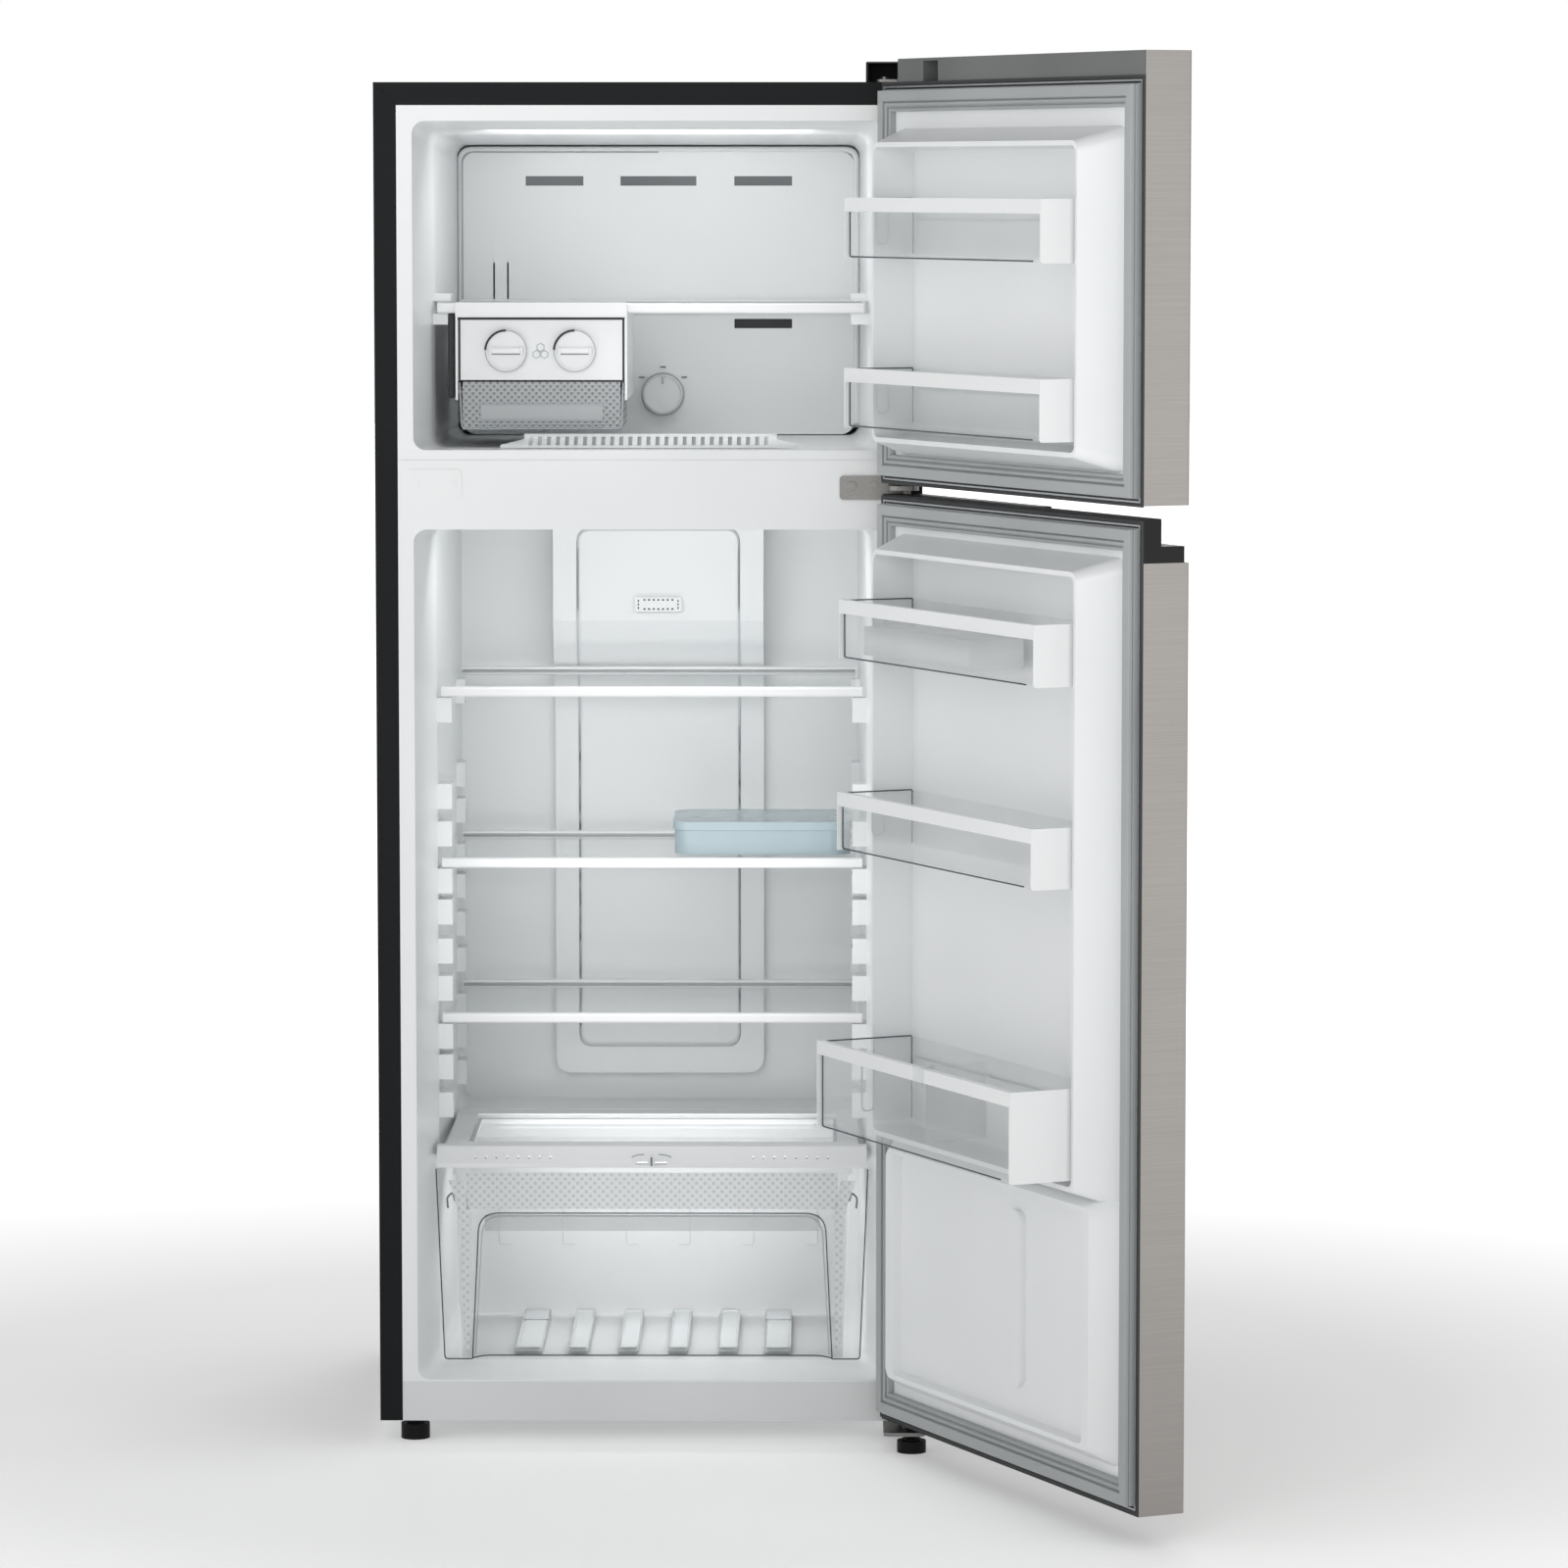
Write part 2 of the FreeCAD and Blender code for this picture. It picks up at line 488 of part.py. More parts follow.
def make_ice_maker():
    left, right = "ice_left", "ice_right"
    lip = box("ice_lip", (left, right), (84, 89.6), (1246, 1261))
    roof = box("ice_roof", (left, right), (86, 330), (1244.4, 1247.6))
    sides = [box(f"ice_side_{n}", span, (86, 330), (1153, 1246))
             for n, span in enumerate(((left, f"{left} + 2.5"), (f"{right} - 2.5", right)))]
    rear = box("ice_rear", (left, right), (327.5, 330), (1176, 1246))
    panel = box("ice_panel", (f"{left} + 2", f"{right} - 2"), (90, 92.5), (1175, 1241.5))
    ledges = [box(f"ice_ledge_{n}", span, (100, 330), (1160, 1163.4))
              for n, span in enumerate(((left, f"{left} + 6.5"), (f"{right} - 6.5", right)))]
    bores = [cylinder(f"ice_bore_{n}", (x, 85, "ice_axis"), "5.06", "250", "Y") for n,
            x in enumerate((-160, -84))]
    node("ice_maker_frame",
            cut("ice_frame_cut", fuse("ice_frame", lip, roof, *sides, rear, panel, *ledges), *bores))
    for side, x in (("left", -160), ("right", -84)):
        block = box(f"tray_block_{side}", (x - 29, x + 29), (98, 318), (1195, 1219))
        cells = [box(f"tray_cell_{side}_{row}_{column}", (x - 27 + 28 * column, x - 1 + 28 * column),
                     (100 + 36.2 * row, 134 + 36.2 * row), (1198, 1220))
                 for row in range(6) for column in range(2)]
        pin = cylinder(f"tray_pin_{side}", (x, 317, "ice_axis"), "5", "12", "Y")
        node(f"ice_tray_{side}", fuse(f"tray_fused_{side}", cut(f"tray_cut_{side}", block, *cells), pin))
        disc = cylinder(f"knob_disc_{side}", (x, 84.5, "ice_axis"), "23", "5", "Y")
        face = cylinder(f"knob_dish_{side}", (x, 84, "ice_axis"), "20", "2", "Y")
        bar = box(f"knob_bar_{side}", (x - 19, x + 19), (83, 87), (1203, 1211))
        shaft = cylinder(f"knob_shaft_{side}", (x, 88, "ice_axis"), "5", "10", "Y")
        node(f"ice_knob_{side}", fuse(f"knob_fused_{side}", cut(f"knob_cut_{side}", disc, face), bar, shaft))

    outer = box("bucket_outer", (-208.5, -33.5), (90, 325), (1120, 1173))
    inner = box("bucket_inner", (-206.5, -35.5), (92, 323), (1122, 1174))
    flange = box("bucket_flange", (-212.6, -29.4), (104, 325), (1163.8, 1166.4))
    node("ice_bucket", cut("bucket_cut", fuse("bucket_fused", outer, flange), inner))

    dial = cylinder("dial_disc", (5, 432, 1148), "23", "17.6", "Y")
    stem = cylinder("dial_stem", (5, 449, 1148), "pin_radius", "7", "Y")
    mark = box("dial_mark", (4, 6), (430, 434), (1158, 1170))
    node("temperature_knob", fuse("dial_fused", dial, stem, mark))


def wedge(name, bottom, top, y, z):
    """A block that is one half width at its bottom and another at its top."""
    obj = doc.addObject("Part::Wedge", name)
    sizes = {"Xmin": f"-{bottom}", "Xmax": bottom, "X2min": f"-{top}", "X2max": top, "Ymin": z[0],
            "Ymax": z[1],
             "Zmin": f"({y[0]}) - ({y[1]})", "Zmax": "0", "Z2min": f"({y[0]}) - ({y[1]})", "Z2max": "0"}
    for prop, text in sizes.items():
        obj.setExpression(prop, expr(text))
    obj.Placement = FreeCAD.Placement(FreeCAD.Vector(), FreeCAD.Rotation(FreeCAD.Vector(1, 0, 0), 90))
    return place(obj, "0", y[0], "0")


def make_crisper():
    front, back = "drawer_front", "drawer_back"
    panel = wedge("drawer_panel", 232.8, 241.6, (front, f"{front} + 3"), (78, 295))
    outer = wedge("drawer_outer", 216, 222, (f"{front} + 2", back), (78, 286))
    inner = wedge("drawer_inner", 213.6, 219.6, (f"{front} + 3", f"{back} - 2.5"), (80.5, 287))
    rim = box("drawer_rim", mirrored("224"), (f"{front} + 3", back), (284, 287))
    mouth = box("drawer_mouth", mirrored("219.4"), (f"{front} + 3", f"{back} - 2.5"), (280, 296))
    node("crisper_drawer", cut("drawer_cut", fuse("drawer_fused", outer, rim, panel), inner, mouth))


def make_machine_space():
    plate = box("machine_floor", mirrored("case_width/2 - sheet"), ("step_depth + 4", "case_depth - 1"),
                ("case_bottom", "case_bottom + 2"))
    ears = []
    for side in (-1, 1):
        for offset in (-12.5, 9.5):
            x = side * 250 + offset
            ears.append(box(f"roller_ear_{x}", (x, x + 3), (524, 556), (5, 25)))
        ears.append(cylinder(f"roller_axle_{side}", (side * 250 - 12, 540, 12), "3", "24", "X"))
    inlet = box("inlet_body", (238, 274), (560, 588), (26, 62))
    socket = box("inlet_socket", (244, 268), (574, 590), (36, 53))
    pins = [box(f"inlet_pin_{x}", (x, x + 2), (570, 582), (z, z + 4)) for x,
            z in ((249, 41), (261, 41), (255, 46))]
    node("compressor_plate", fuse("machine_fused", plate, *ears))
    node("power_inlet", fuse("inlet_fused", cut("inlet_cut", inlet, socket), *pins))
    rollers = []
    for side in (-1, 1):
        wheel = cylinder(f"roller_{side}", (side * 250 - 8, 540, 12), "12", "16", "X")
        bore = cylinder(f"roller_bore_{side}", (side * 250 - 9, 540, 12), "3.06", "18", "X")
        rollers.append(cut(f"roller_cut_{side}", wheel, bore))
    node("rear_rollers", group("rollers", *rollers))

    can = cylinder("compressor_can", (150, 495, 40), "62", "140")
    doc.recompute()
    dome = doc.addObject("Part::Fillet", "compressor_dome")
    dome.Base = can
    dome.Edges = [(number, 34, 34) for number, edge in enumerate(can.Shape.Edges, start=1)
                  if edge.Curve.TypeId == "Part::GeomCircle"]
    legs = box("compressor_legs", (70, 230), (456, 534), (38, 43))
    terminal = soft_box("compressor_terminal", (66, 96), (470, 520), (80, 130), "Z", 6)
    feet = [cylinder(f"grommet_{x}_{y}", (x, y, 26), "8", "12") for x in (80, 220) for y in (466, 524)]
    node("compressor", group("compressor_group", fuse("compressor_fused", dome, legs, terminal), *feet))

    pan = soft_box("pan_outer", (64, 236), (430, 560), (181, 224), "Z", 12)
    hollow = soft_box("pan_hollow", (66, 234), (432, 558), (183, 226), "Z", 10)
    node("drip_tray", cut("pan_cut", pan, hollow))

    passes = []
    for turn, z in enumerate(range(70, 250, 25)):
        passes += [(20 if turn % 2 == 0 else -260, 490, z), (20 if turn % 2 == 0 else -260, 490, z + 25)]
    start = [(-240, 490, 70)]
    coil = tube("condenser_coil", start + passes[:-1], 2.5, 8)
    wires = [box(f"condenser_wire_{x}_{y}", (x, x + 1.6), (y, y + 1.6), (62, 250))
             for x in range(-250, 16, 14) for y in (486.4, 492)]
    stands = [box(f"condenser_stand_{x}", (x, x + 3), (482, 498), (26, 256)) for x in (-270, 30)]
    rails = [box(f"condenser_rail_{z}", (-270, 33), (484.6, 486.6), (z, z + 6)) for z in (64, 240)]
    node("condenser", fuse("condenser_fused", coil, *wires, *stands, *rails))


def make_hinges():
    x, y = "axis_x", "axis_y"
    top = "case_top"
    leaf = soft_box("top_leaf", (248, 296), (6, 92), (top, f"{top} + 3"), "Z", 6)
    arm = box("top_arm", (f"{x} - 11", f"{x} + 11"), (y, "8"), (top, f"{top} + 3"))
    tip = cylinder("top_tip", (x, y, top), "11", "3")
    pin = cylinder("top_pin", (x, y, f"{top} - 20"), "pin_radius", "22")
    places = ((258, 24), (258, 78), (286, 78))
    holes = [cylinder(f"top_hole_{a}_{b}", (a, b, f"{top} - 1"), "3.1", "5") for a, b in places]
    node("top_hinge", cut("top_hinge_cut", fuse("top_hinge_fused", leaf, arm, tip, pin), *holes))
    cover = soft_box("cover_shell", (238, 299), (1, 100), (top, f"{top} + 22"), "Z", 5)
    room = box("cover_room", (240, 297), (-1, 98), (f"{top} - 1", f"{top} + 20"))
    bridge = box("cover_bridge", (f"{x} - 11", f"{x} + 11"), (y, "3"), (f"{top} + 3.4", f"{top} + 22"))
    nose = cylinder("cover_nose", (x, y, f"{top} + 3.4"), "11", "18.6")
    node("top_hinge_cover", fuse("cover_joined", cut("cover_hollowed", cover, room), bridge, nose))

    mid = "freezer_door_low - 9"
    wall = soft_box("middle_wall", (209, "axis_x"), (-4.4, -1.4), (1047, 1073), "Y", 4)
    shelf = box("middle_arm", (f"{x} - 20", f"{x} + 13"), (y, "-1.4"), (mid, f"{mid} + 5"))
    end = soft_box("middle_end", (f"{x} - 20", f"{x} + 13"), (f"{y} - 14", f"{y} + 6"),
            (mid, f"{mid} + 5"), "Z", 8)
    pins = cylinder("middle_pin", (x, y, f"{mid} - 18"), "pin_radius", "41")
    holes = [cylinder(f"middle_hole_{a}", (a, -6, 1062), "3.1", "6", "Y") for a in (222, 246)]
    node("middle_hinge", cut("middle_cut", fuse("middle_fused", wall, shelf, end, pins), *holes))

    low = "case_bottom - 4"
    leaf = soft_box("bottom_leaf", (258, 304), (-71, 70), (low, "case_bottom"), "Z", 6)
    pin = cylinder("bottom_pin", (x, y, low), "pin_radius", "26")
    stud_hole = cylinder("bottom_stud_hole", (289, -53, "0"), "bore_radius + 1", "60")
    holes = [cylinder(f"bottom_hole_{b}", (274, b, "0"), "3.1", "60") for b in (18, 56)]
    node("bottom_hinge", cut("bottom_cut", fuse("bottom_fused", leaf, pin), stud_hole, *holes))

    screws = []
    for a, b in places:
        screws += [cylinder(f"screw_head_{a}_{b}", (a, b, f"{top} + 3"), "5", "3"),
                   cylinder(f"screw_shank_{a}_{b}", (a, b, top), "3", "3.5")]
    for a in (222, 246):
        screws += [cylinder(f"screw_head_{a}", (a, -7.2, 1062), "5", "2.8", "Y"),
                   cylinder(f"screw_shank_{a}", (a, -5, 1062), "3", "3.6", "Y")]
    for b in (18, 56):
        screws += [cylinder(f"screw_head_{b}", (274, b, f"{low} - 3"), "5", "3"),
                   cylinder(f"screw_shank_{b}", (274, b, f"{low} - 1"), "3", "5")]
    pairs = [fuse(f"screw_{n}", screws[n], screws[n + 1]) for n in range(0, len(screws), 2)]
    node("hinge_screws", group("screws", *pairs))


def make_feet():
    for side, x, y, reach, thread in (("left", -262.6, 27, 17, "pin_radius"),
            ("right", 289, -53, 13, "pin_radius + 1")):
        pad = cylinder(f"foot_pad_{side}", (x, y, 0), "foot_radius", reach)
        collar = cylinder(f"foot_collar_{side}", (x, y, reach - 1), "10", "3.4")
        stud = cylinder(f"foot_stud_{side}", (x, y, 5), thread, "26")
        node(f"foot_{side}", fuse(f"foot_fused_{side}", pad, collar, stud))


def swing(obj):
    """Turns a door piece, modelled closed, to the open pose about the hinge axis."""
    pivot = FreeCAD.Vector(size("axis_x"), size("axis_y") - size("case_depth") / 2, 0)
    turn = FreeCAD.Rotation(FreeCAD.Vector(0, 0, 1), size("open_angle"))
    obj.Placement = FreeCAD.Placement(FreeCAD.Vector(), turn, pivot)
    return obj


def make_skin(door, low, high, notch):
    outer = box(f"{door}_skin_block", mirrored("door_half"), ("door_front", "door_back - 0.6"), (low, high))
    outer = fillet(f"{door}_skin_round", outer, "Z", 4, lambda c: c.y < -350)
    inner = box(f"{door}_skin_inner", mirrored("door_half - 1"), ("door_front + 1", "0"),
            (f"{low} - 1", f"{high} + 1"))
    inner = fillet(f"{door}_skin_inner_round", inner, "Z", 3, lambda c: c.y < -350)
    return cut(f"{door}_skin_cut", outer, inner, *notch)


def pin_bore(door, z, length):
    return cylinder(f"{door}_bore_{z}".replace(" ", ""), ("axis_x", "axis_y", z), "bore_radius", length)


def cap_block(name, y, z):
    """A block that fits inside the skin's rounded front corners."""
    block = box(name, mirrored("door_half - 1"), y, z)
    return fillet(name + "_round", block, "Z", 3, lambda c: c.y < -350)


def make_liner(door, low, high, zones):
    """zones: (z low, z high, crest, recess half width, recess face) from the bottom up."""
    solids = [box(f"{door}_liner_flange", mirrored("292"), ("door_back - 2", "door_back"), (low, high))]
    hollows, pans, dishes = [], [], []
    for number, (z_low, z_high, crest, half, face) in enumerate(zones):
        def stage(tag, grow, start, end, slope):
            return loft(
                f"{door}_{tag}_{number}",
                (mirrored(f"seal_inner - 3 + {grow}"), start,
                        (f"{z_low} - {slope} - {grow}", f"{z_high} + {slope} + {grow}"),
                 "16"),
                (mirrored(f"dike_half + {grow}"), end, (f"{z_low} - {grow}", f"{z_high} + {grow}"), "12"))

        def dish(tag, grow, deep):
            return loft(
                f"{door}_{tag}_{number}",
                (mirrored(f"{half} - 2 + {grow}"), f"{face} - {deep}",
                        (f"{z_low} + 8 - {grow}", f"{z_high} - 8 + {grow}"), "8"),
                (mirrored(f"{half} + {grow}"), f"{crest} + 1",
                        (f"{z_low} + 5 - {grow}", f"{z_high} - 5 + {grow}"), "8"))

        solids.append(stage("dike", 0, "door_back", str(crest), 15))
        hollows.append(stage("dike_hollow", -2, "door_back - 3", f"{crest} - 2", 15))
        pans.append(dish("pan", 2, 2))
        dishes.append(dish("dish", 0, 0))
    body = fuse(f"{door}_liner_body", *solids)
    pan = pans[0] if len(pans) == 1 else fuse(f"{door}_pans", *pans)
    hollow = hollows[0] if len(hollows) == 1 else fuse(f"{door}_hollows", *hollows)
    trim = box(f"{door}_pan_limit", mirrored("292"), ("door_back - 30", "door_back"), (low, high))
    whole = fuse(f"{door}_liner_whole", body, common(f"{door}_pan_back", pan, trim))
    filling = cut(f"{door}_filling", hollow, pan)
    liner = cut(f"{door}_liner_cut", whole, filling, *dishes)
    return liner, filling, pan


def make_foam(door, low, high, filling, pan, parts):
    back = "door_back - 2"
    block = box(f"{door}_foam_block", mirrored("door_half - 1"), ("door_front + 1", back), (low, high))
    block = fillet(f"{door}_foam_round", block, "Z", 3, lambda c: c.y < -350)
    core = cut(f"{door}_foam_core", block, pan, *parts)
    return fuse(f"{door}_foam_fused", core, filling)


def make_gasket(door, low, high):
    outer = box(f"{door}_seal_outer", mirrored("seal_outer"), ("door_back", "seal_face"), (low, high))
    inner = box(f"{door}_seal_inner", mirrored("seal_inner"), ("door_back - 1", "seal_face + 1"),
                (f"{low} + 23.5", f"{high} - 23.5"))
    return cut(f"{door}_seal_cut", outer, inner)


def make_freezer_door():
    low, high, door = "freezer_door_low", "freezer_door_high", "freezer_door"
    notch = box("freezer_notch", ("axis_x - 20", "door_half + 2"), ("-60", "0"), (1499, 1530))
    pocket = box("freezer_pocket", (166, 201), ("-34", "-12"), (1500, 1523))
    head = cap_block("freezer_head", ("door_front + 1", "door_back"), (1497, high))
    head_hollow = box("freezer_head_hollow", mirrored("door_half - 4"), ("door_front + 4", "door_back - 3"),
                      (1496, f"{high} - 3"))
    notch_wall = box("freezer_notch_wall", ("axis_x - 22", "door_half - 1"), ("-62", "door_back"),
            (1496, high))
    pocket_wall = box("freezer_pocket_wall", (164, 203), ("-36", "door_back"), (1497, high))
    boss = cylinder("freezer_boss", ("axis_x", "axis_y", 1476), "9", "24")
    cap = fuse("freezer_cap", cut("freezer_cap_shell", head, head_hollow), notch_wall, pocket_wall, boss)
    top_cap = cut("freezer_top_cap", cap, notch, pocket, pin_bore(door, 1470, 60))
    base = cap_block("freezer_base", ("door_front + 1", "door_back"), (low, f"{low} + 5"))
    foot = cylinder("freezer_base_boss", ("axis_x", "axis_y", low), "9", "20")
    base_cap = cut("freezer_base_cap", fuse("freezer_base_fused", base, foot), pin_bore(door, 1060, 24))
    liner, filling, pan = make_liner(door, 1074, 1496, ((1115, 1436, "crest", "recess_half", "recess"),))
    room = box("freezer_foam_top", mirrored("door_half - 4"), ("door_front + 4", "door_back - 3"),
               (1496, f"{high} - 3"))
    block = make_foam(door, f"{low} + 5", 1497, filling, pan, [notch_wall, pocket_wall, boss, foot])
    head_foam = cut("freezer_head_foam", room, notch_wall, pocket_wall, boss)
    node("freezer_door_skin", swing(make_skin(door, low, high, [notch])))
    node("freezer_door_caps", swing(group("freezer_caps", top_cap, base_cap)))
    node("freezer_door_foam", swing(fuse("freezer_foam", block, head_foam)))
    node("freezer_door_liner", swing(liner))
    node("freezer_door_gasket", swing(make_gasket(door, 1075.4, 1492.4)))


def make_fridge_door():
    low, door = "fridge_door_low", "fridge_door"
    steel, grip, high = "fridge_skin_high", "grip_high", "fridge_door_high"
    neck = cap_block("fridge_cap_neck", ("door_front + 1", "door_back"), (f"{steel} - 10", steel))
    step = box("fridge_cap_step", mirrored("door_half"), ("-61.5", "door_back"), (steel, grip))
    wall = box("fridge_cap_wall", mirrored("door_half"), ("-35", "door_back"), (grip, high))
    rise = box("fridge_cap_rise", (-8, "door_half"), ("-61.5", "-34"), (grip, f"{high} - 1"))
    hollow = box("fridge_cap_hollow", mirrored("door_half - 4"), ("-58", "door_back - 3"),
            (f"{steel} - 11", f"{grip} - 3"))
    upper = box("fridge_cap_upper", mirrored("door_half - 4"), ("-32", "door_back - 3"),
            (f"{grip} - 4", f"{high} - 3"))
    boss = cylinder("fridge_cap_boss", ("axis_x", "axis_y", f"{high} - 28"), "9", "27")
    behind = box("fridge_cap_behind", mirrored("292.2"), ("door_back - 3", "0"), (f"{steel} - 11", 1046.2))
    shell = cut("fridge_cap_shell", fuse("fridge_cap_block", neck, step, wall, rise), hollow, upper, behind)
    top_cap = cut("fridge_top_cap", fuse("fridge_cap_fused", shell, boss), pin_bore(door, 1035, 30))
    base = cap_block("fridge_base", ("door_front + 1", "door_back"), (low, f"{low} + 7"))
    foot = cylinder("fridge_base_boss", ("axis_x", "axis_y", low), "9", "20")
    base_cap = cut("fridge_base_cap", fuse("fridge_base_fused", base, foot), pin_bore(door, 30, 20))
    zones = ((92, 345, "12", "222", "1"), (362, 999, "crest", "recess_half", "recess"))
    liner, filling, pan = make_liner(door, 42, 1046, zones)
    rib = soft_box("fridge_liner_rib", (-75, -45), ("-1", "7"), (130, 318), "Y", 12)
    liner = fuse("fridge_liner_ribbed", liner, rib)
    block = make_foam(door, f"{low} + 7", f"{steel} - 10", filling, pan, [foot])
    head_foam = cut("fridge_head_foam", fuse("fridge_head_fused", hollow, upper), boss, pan,
               box("fridge_head_limit", mirrored("300"), ("-90", "0"), (0, f"{steel} - 10")))
    node("fridge_door_skin", swing(make_skin(door, low, steel, [])))
    node("fridge_door_caps", swing(group("fridge_caps", top_cap, base_cap)))
    node("fridge_door_foam", swing(fuse("fridge_foam", block, head_foam)))
    node("fridge_door_liner", swing(liner))
    node("fridge_door_gasket", swing(make_gasket(door, 43.5, 1044.5)))


BALCONIES = (
    ("freezer_upper_balcony", 67, 1313, 1377),
    ("freezer_lower_balcony", 67, 1132, 1195),
    ("fridge_upper_balcony", 73, 883, 946),
    ("fridge_middle_balcony", 75, 676, 738),
    ("bottle_balcony", 99, 375, 469),
)


def make_balcony(name, front, low, high):
    inner = "bay_half - 2.4"
    wall = 2.2
    outer = box(f"{name}_outer", mirrored(inner), (-15.8, front - 3.2), (low, high - 2))
    hollow = box(f"{name}_hollow", mirrored(f"{inner} - {wall}"), (-15.8 + wall, front - 3.2 - wall),
                 (low + wall, high + 2))
    node(f"{name}_bin", swing(cut(f"{name}_bin_cut", outer, hollow)))
    bar = box(f"{name}_bar", mirrored("bay_half"), (front - 3, front), (high - 15, high))
    lap = box(f"{name}_lap", mirrored("bay_half"), (front - 8, front), (high - 1.8, high))
    end = soft_box(f"{name}_end", ("-bay_half", "-bay_half + 2.2"), (-12, front), (low - 1, high), "X", 3)
    post = box(f"{name}_post", ("bay_half - 2.2", "bay_half"), (front - 6, front), (low - 1, high))
    node(f"{name}_rail", swing(fuse(f"{name}_rail_fused", bar, lap, end, post)))


def make_divider():
    front, high = 99, 469
    clip = box("divider_clip", (-32, -8), (front + 0.4, front + 2.4), (high - 18, high + 3))
    roof = box("divider_roof", (-32, -8), (front - 12, front + 2.4), (high + 0.5, high + 3))
    fin = box("divider_fin", (-21, -19), (20, front - 8.6), (390, high + 3))
    node("bottle_divider", swing(fuse("divider_fused", clip, roof, fin)))


make_cabinet()
make_cold_side()
make_shelves()
make_ice_maker()
make_crisper()
make_machine_space()
make_hinges()
make_feet()
make_freezer_door()
make_fridge_door()
for balcony in BALCONIES:
    make_balcony(*balcony)
make_divider()
doc.recompute()

problems = [f"{item.Name}: {item.State}" for item in doc.Objects if {"Invalid", "Error"} & set(item.State)]
problems += [f"{item.Label}: no valid shape" for item in NODES
             if item.Shape.isNull() or not item.Shape.isValid()]
if problems:
    raise RuntimeError("\n".join(problems))
os.makedirs("parts", exist_ok=True)
for item in NODES:
    item.Shape.exportStep(f"parts/{item.Label}.step")
print(len(NODES), "nodes written")
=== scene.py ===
import json
import math

import bmesh
import bpy
from mathutils import Matrix, Vector


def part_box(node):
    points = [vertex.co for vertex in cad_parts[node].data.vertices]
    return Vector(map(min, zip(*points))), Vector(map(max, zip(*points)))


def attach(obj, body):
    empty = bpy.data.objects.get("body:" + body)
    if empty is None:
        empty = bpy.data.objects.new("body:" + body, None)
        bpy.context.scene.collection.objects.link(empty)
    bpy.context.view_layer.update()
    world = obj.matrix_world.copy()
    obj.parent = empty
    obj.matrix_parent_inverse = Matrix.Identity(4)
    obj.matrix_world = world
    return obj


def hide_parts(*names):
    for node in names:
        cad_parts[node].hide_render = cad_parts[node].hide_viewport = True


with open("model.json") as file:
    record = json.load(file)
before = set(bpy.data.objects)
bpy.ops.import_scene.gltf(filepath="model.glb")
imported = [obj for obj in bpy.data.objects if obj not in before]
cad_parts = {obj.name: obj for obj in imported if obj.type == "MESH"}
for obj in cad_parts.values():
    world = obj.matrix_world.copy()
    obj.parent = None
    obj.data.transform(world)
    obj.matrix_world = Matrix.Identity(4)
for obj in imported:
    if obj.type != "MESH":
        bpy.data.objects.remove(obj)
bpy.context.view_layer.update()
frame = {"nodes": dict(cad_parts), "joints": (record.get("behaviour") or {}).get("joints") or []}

# ---------------------------------------------------------------- node helpers


def new_material(name):
    material = bpy.data.materials.new(name)
    material.use_nodes = True
    tree = material.node_tree
    return material, tree.nodes, tree.links, tree.nodes["Principled BSDF"]


def object_space(nodes, links, stretch=(1.0, 1.0, 1.0)):
    """The piece's own coordinates, in metres, stretched along each axis."""
    where = nodes.new("ShaderNodeTexCoord").outputs["Object"]
    mapping = nodes.new("ShaderNodeMapping")
    mapping.inputs["Scale"].default_value = stretch
    links.new(where, mapping.inputs["Vector"])
    return mapping.outputs["Vector"]


def noise(nodes, links, where, scale, detail=2.0, roughness=0.5):
    texture = nodes.new("ShaderNodeTexNoise")
    texture.inputs["Scale"].default_value = scale
    texture.inputs["Detail"].default_value = detail
    texture.inputs["Roughness"].default_value = roughness
    links.new(where, texture.inputs["Vector"])
    return texture.outputs["Fac"]


def spread(nodes, links, value, low, high, start=0.3, end=0.7):
    """Maps a 0..1 pattern onto a range of numbers."""
    node = nodes.new("ShaderNodeMapRange")
    node.inputs["From Min"].default_value = start
    node.inputs["From Max"].default_value = end
    node.inputs["To Min"].default_value = low
    node.inputs["To Max"].default_value = high
    links.new(value, node.inputs["Value"])
    return node.outputs["Result"]


def blend_colours(nodes, links, value, dark, light, start=0.3, end=0.7):
    node = nodes.new("ShaderNodeValToRGB")
    node.color_ramp.elements[0].position = start
    node.color_ramp.elements[1].position = end
    node.color_ramp.elements[0].color = (*dark, 1.0)
    node.color_ramp.elements[1].color = (*light, 1.0)
    links.new(value, node.inputs["Fac"])
    return node.outputs["Color"]


def relief(nodes, links, shader, height, strength, distance):
    node = nodes.new("ShaderNodeBump")
    node.inputs["Strength"].default_value = strength
    node.inputs["Distance"].default_value = distance
    links.new(height, node.inputs["Height"])
    links.new(node.outputs["Normal"], shader.inputs["Normal"])


def shaded(colour, factor):
    return tuple(min(1.0, c * factor) for c in colour)


# ------------------------------------------------------------------- materials


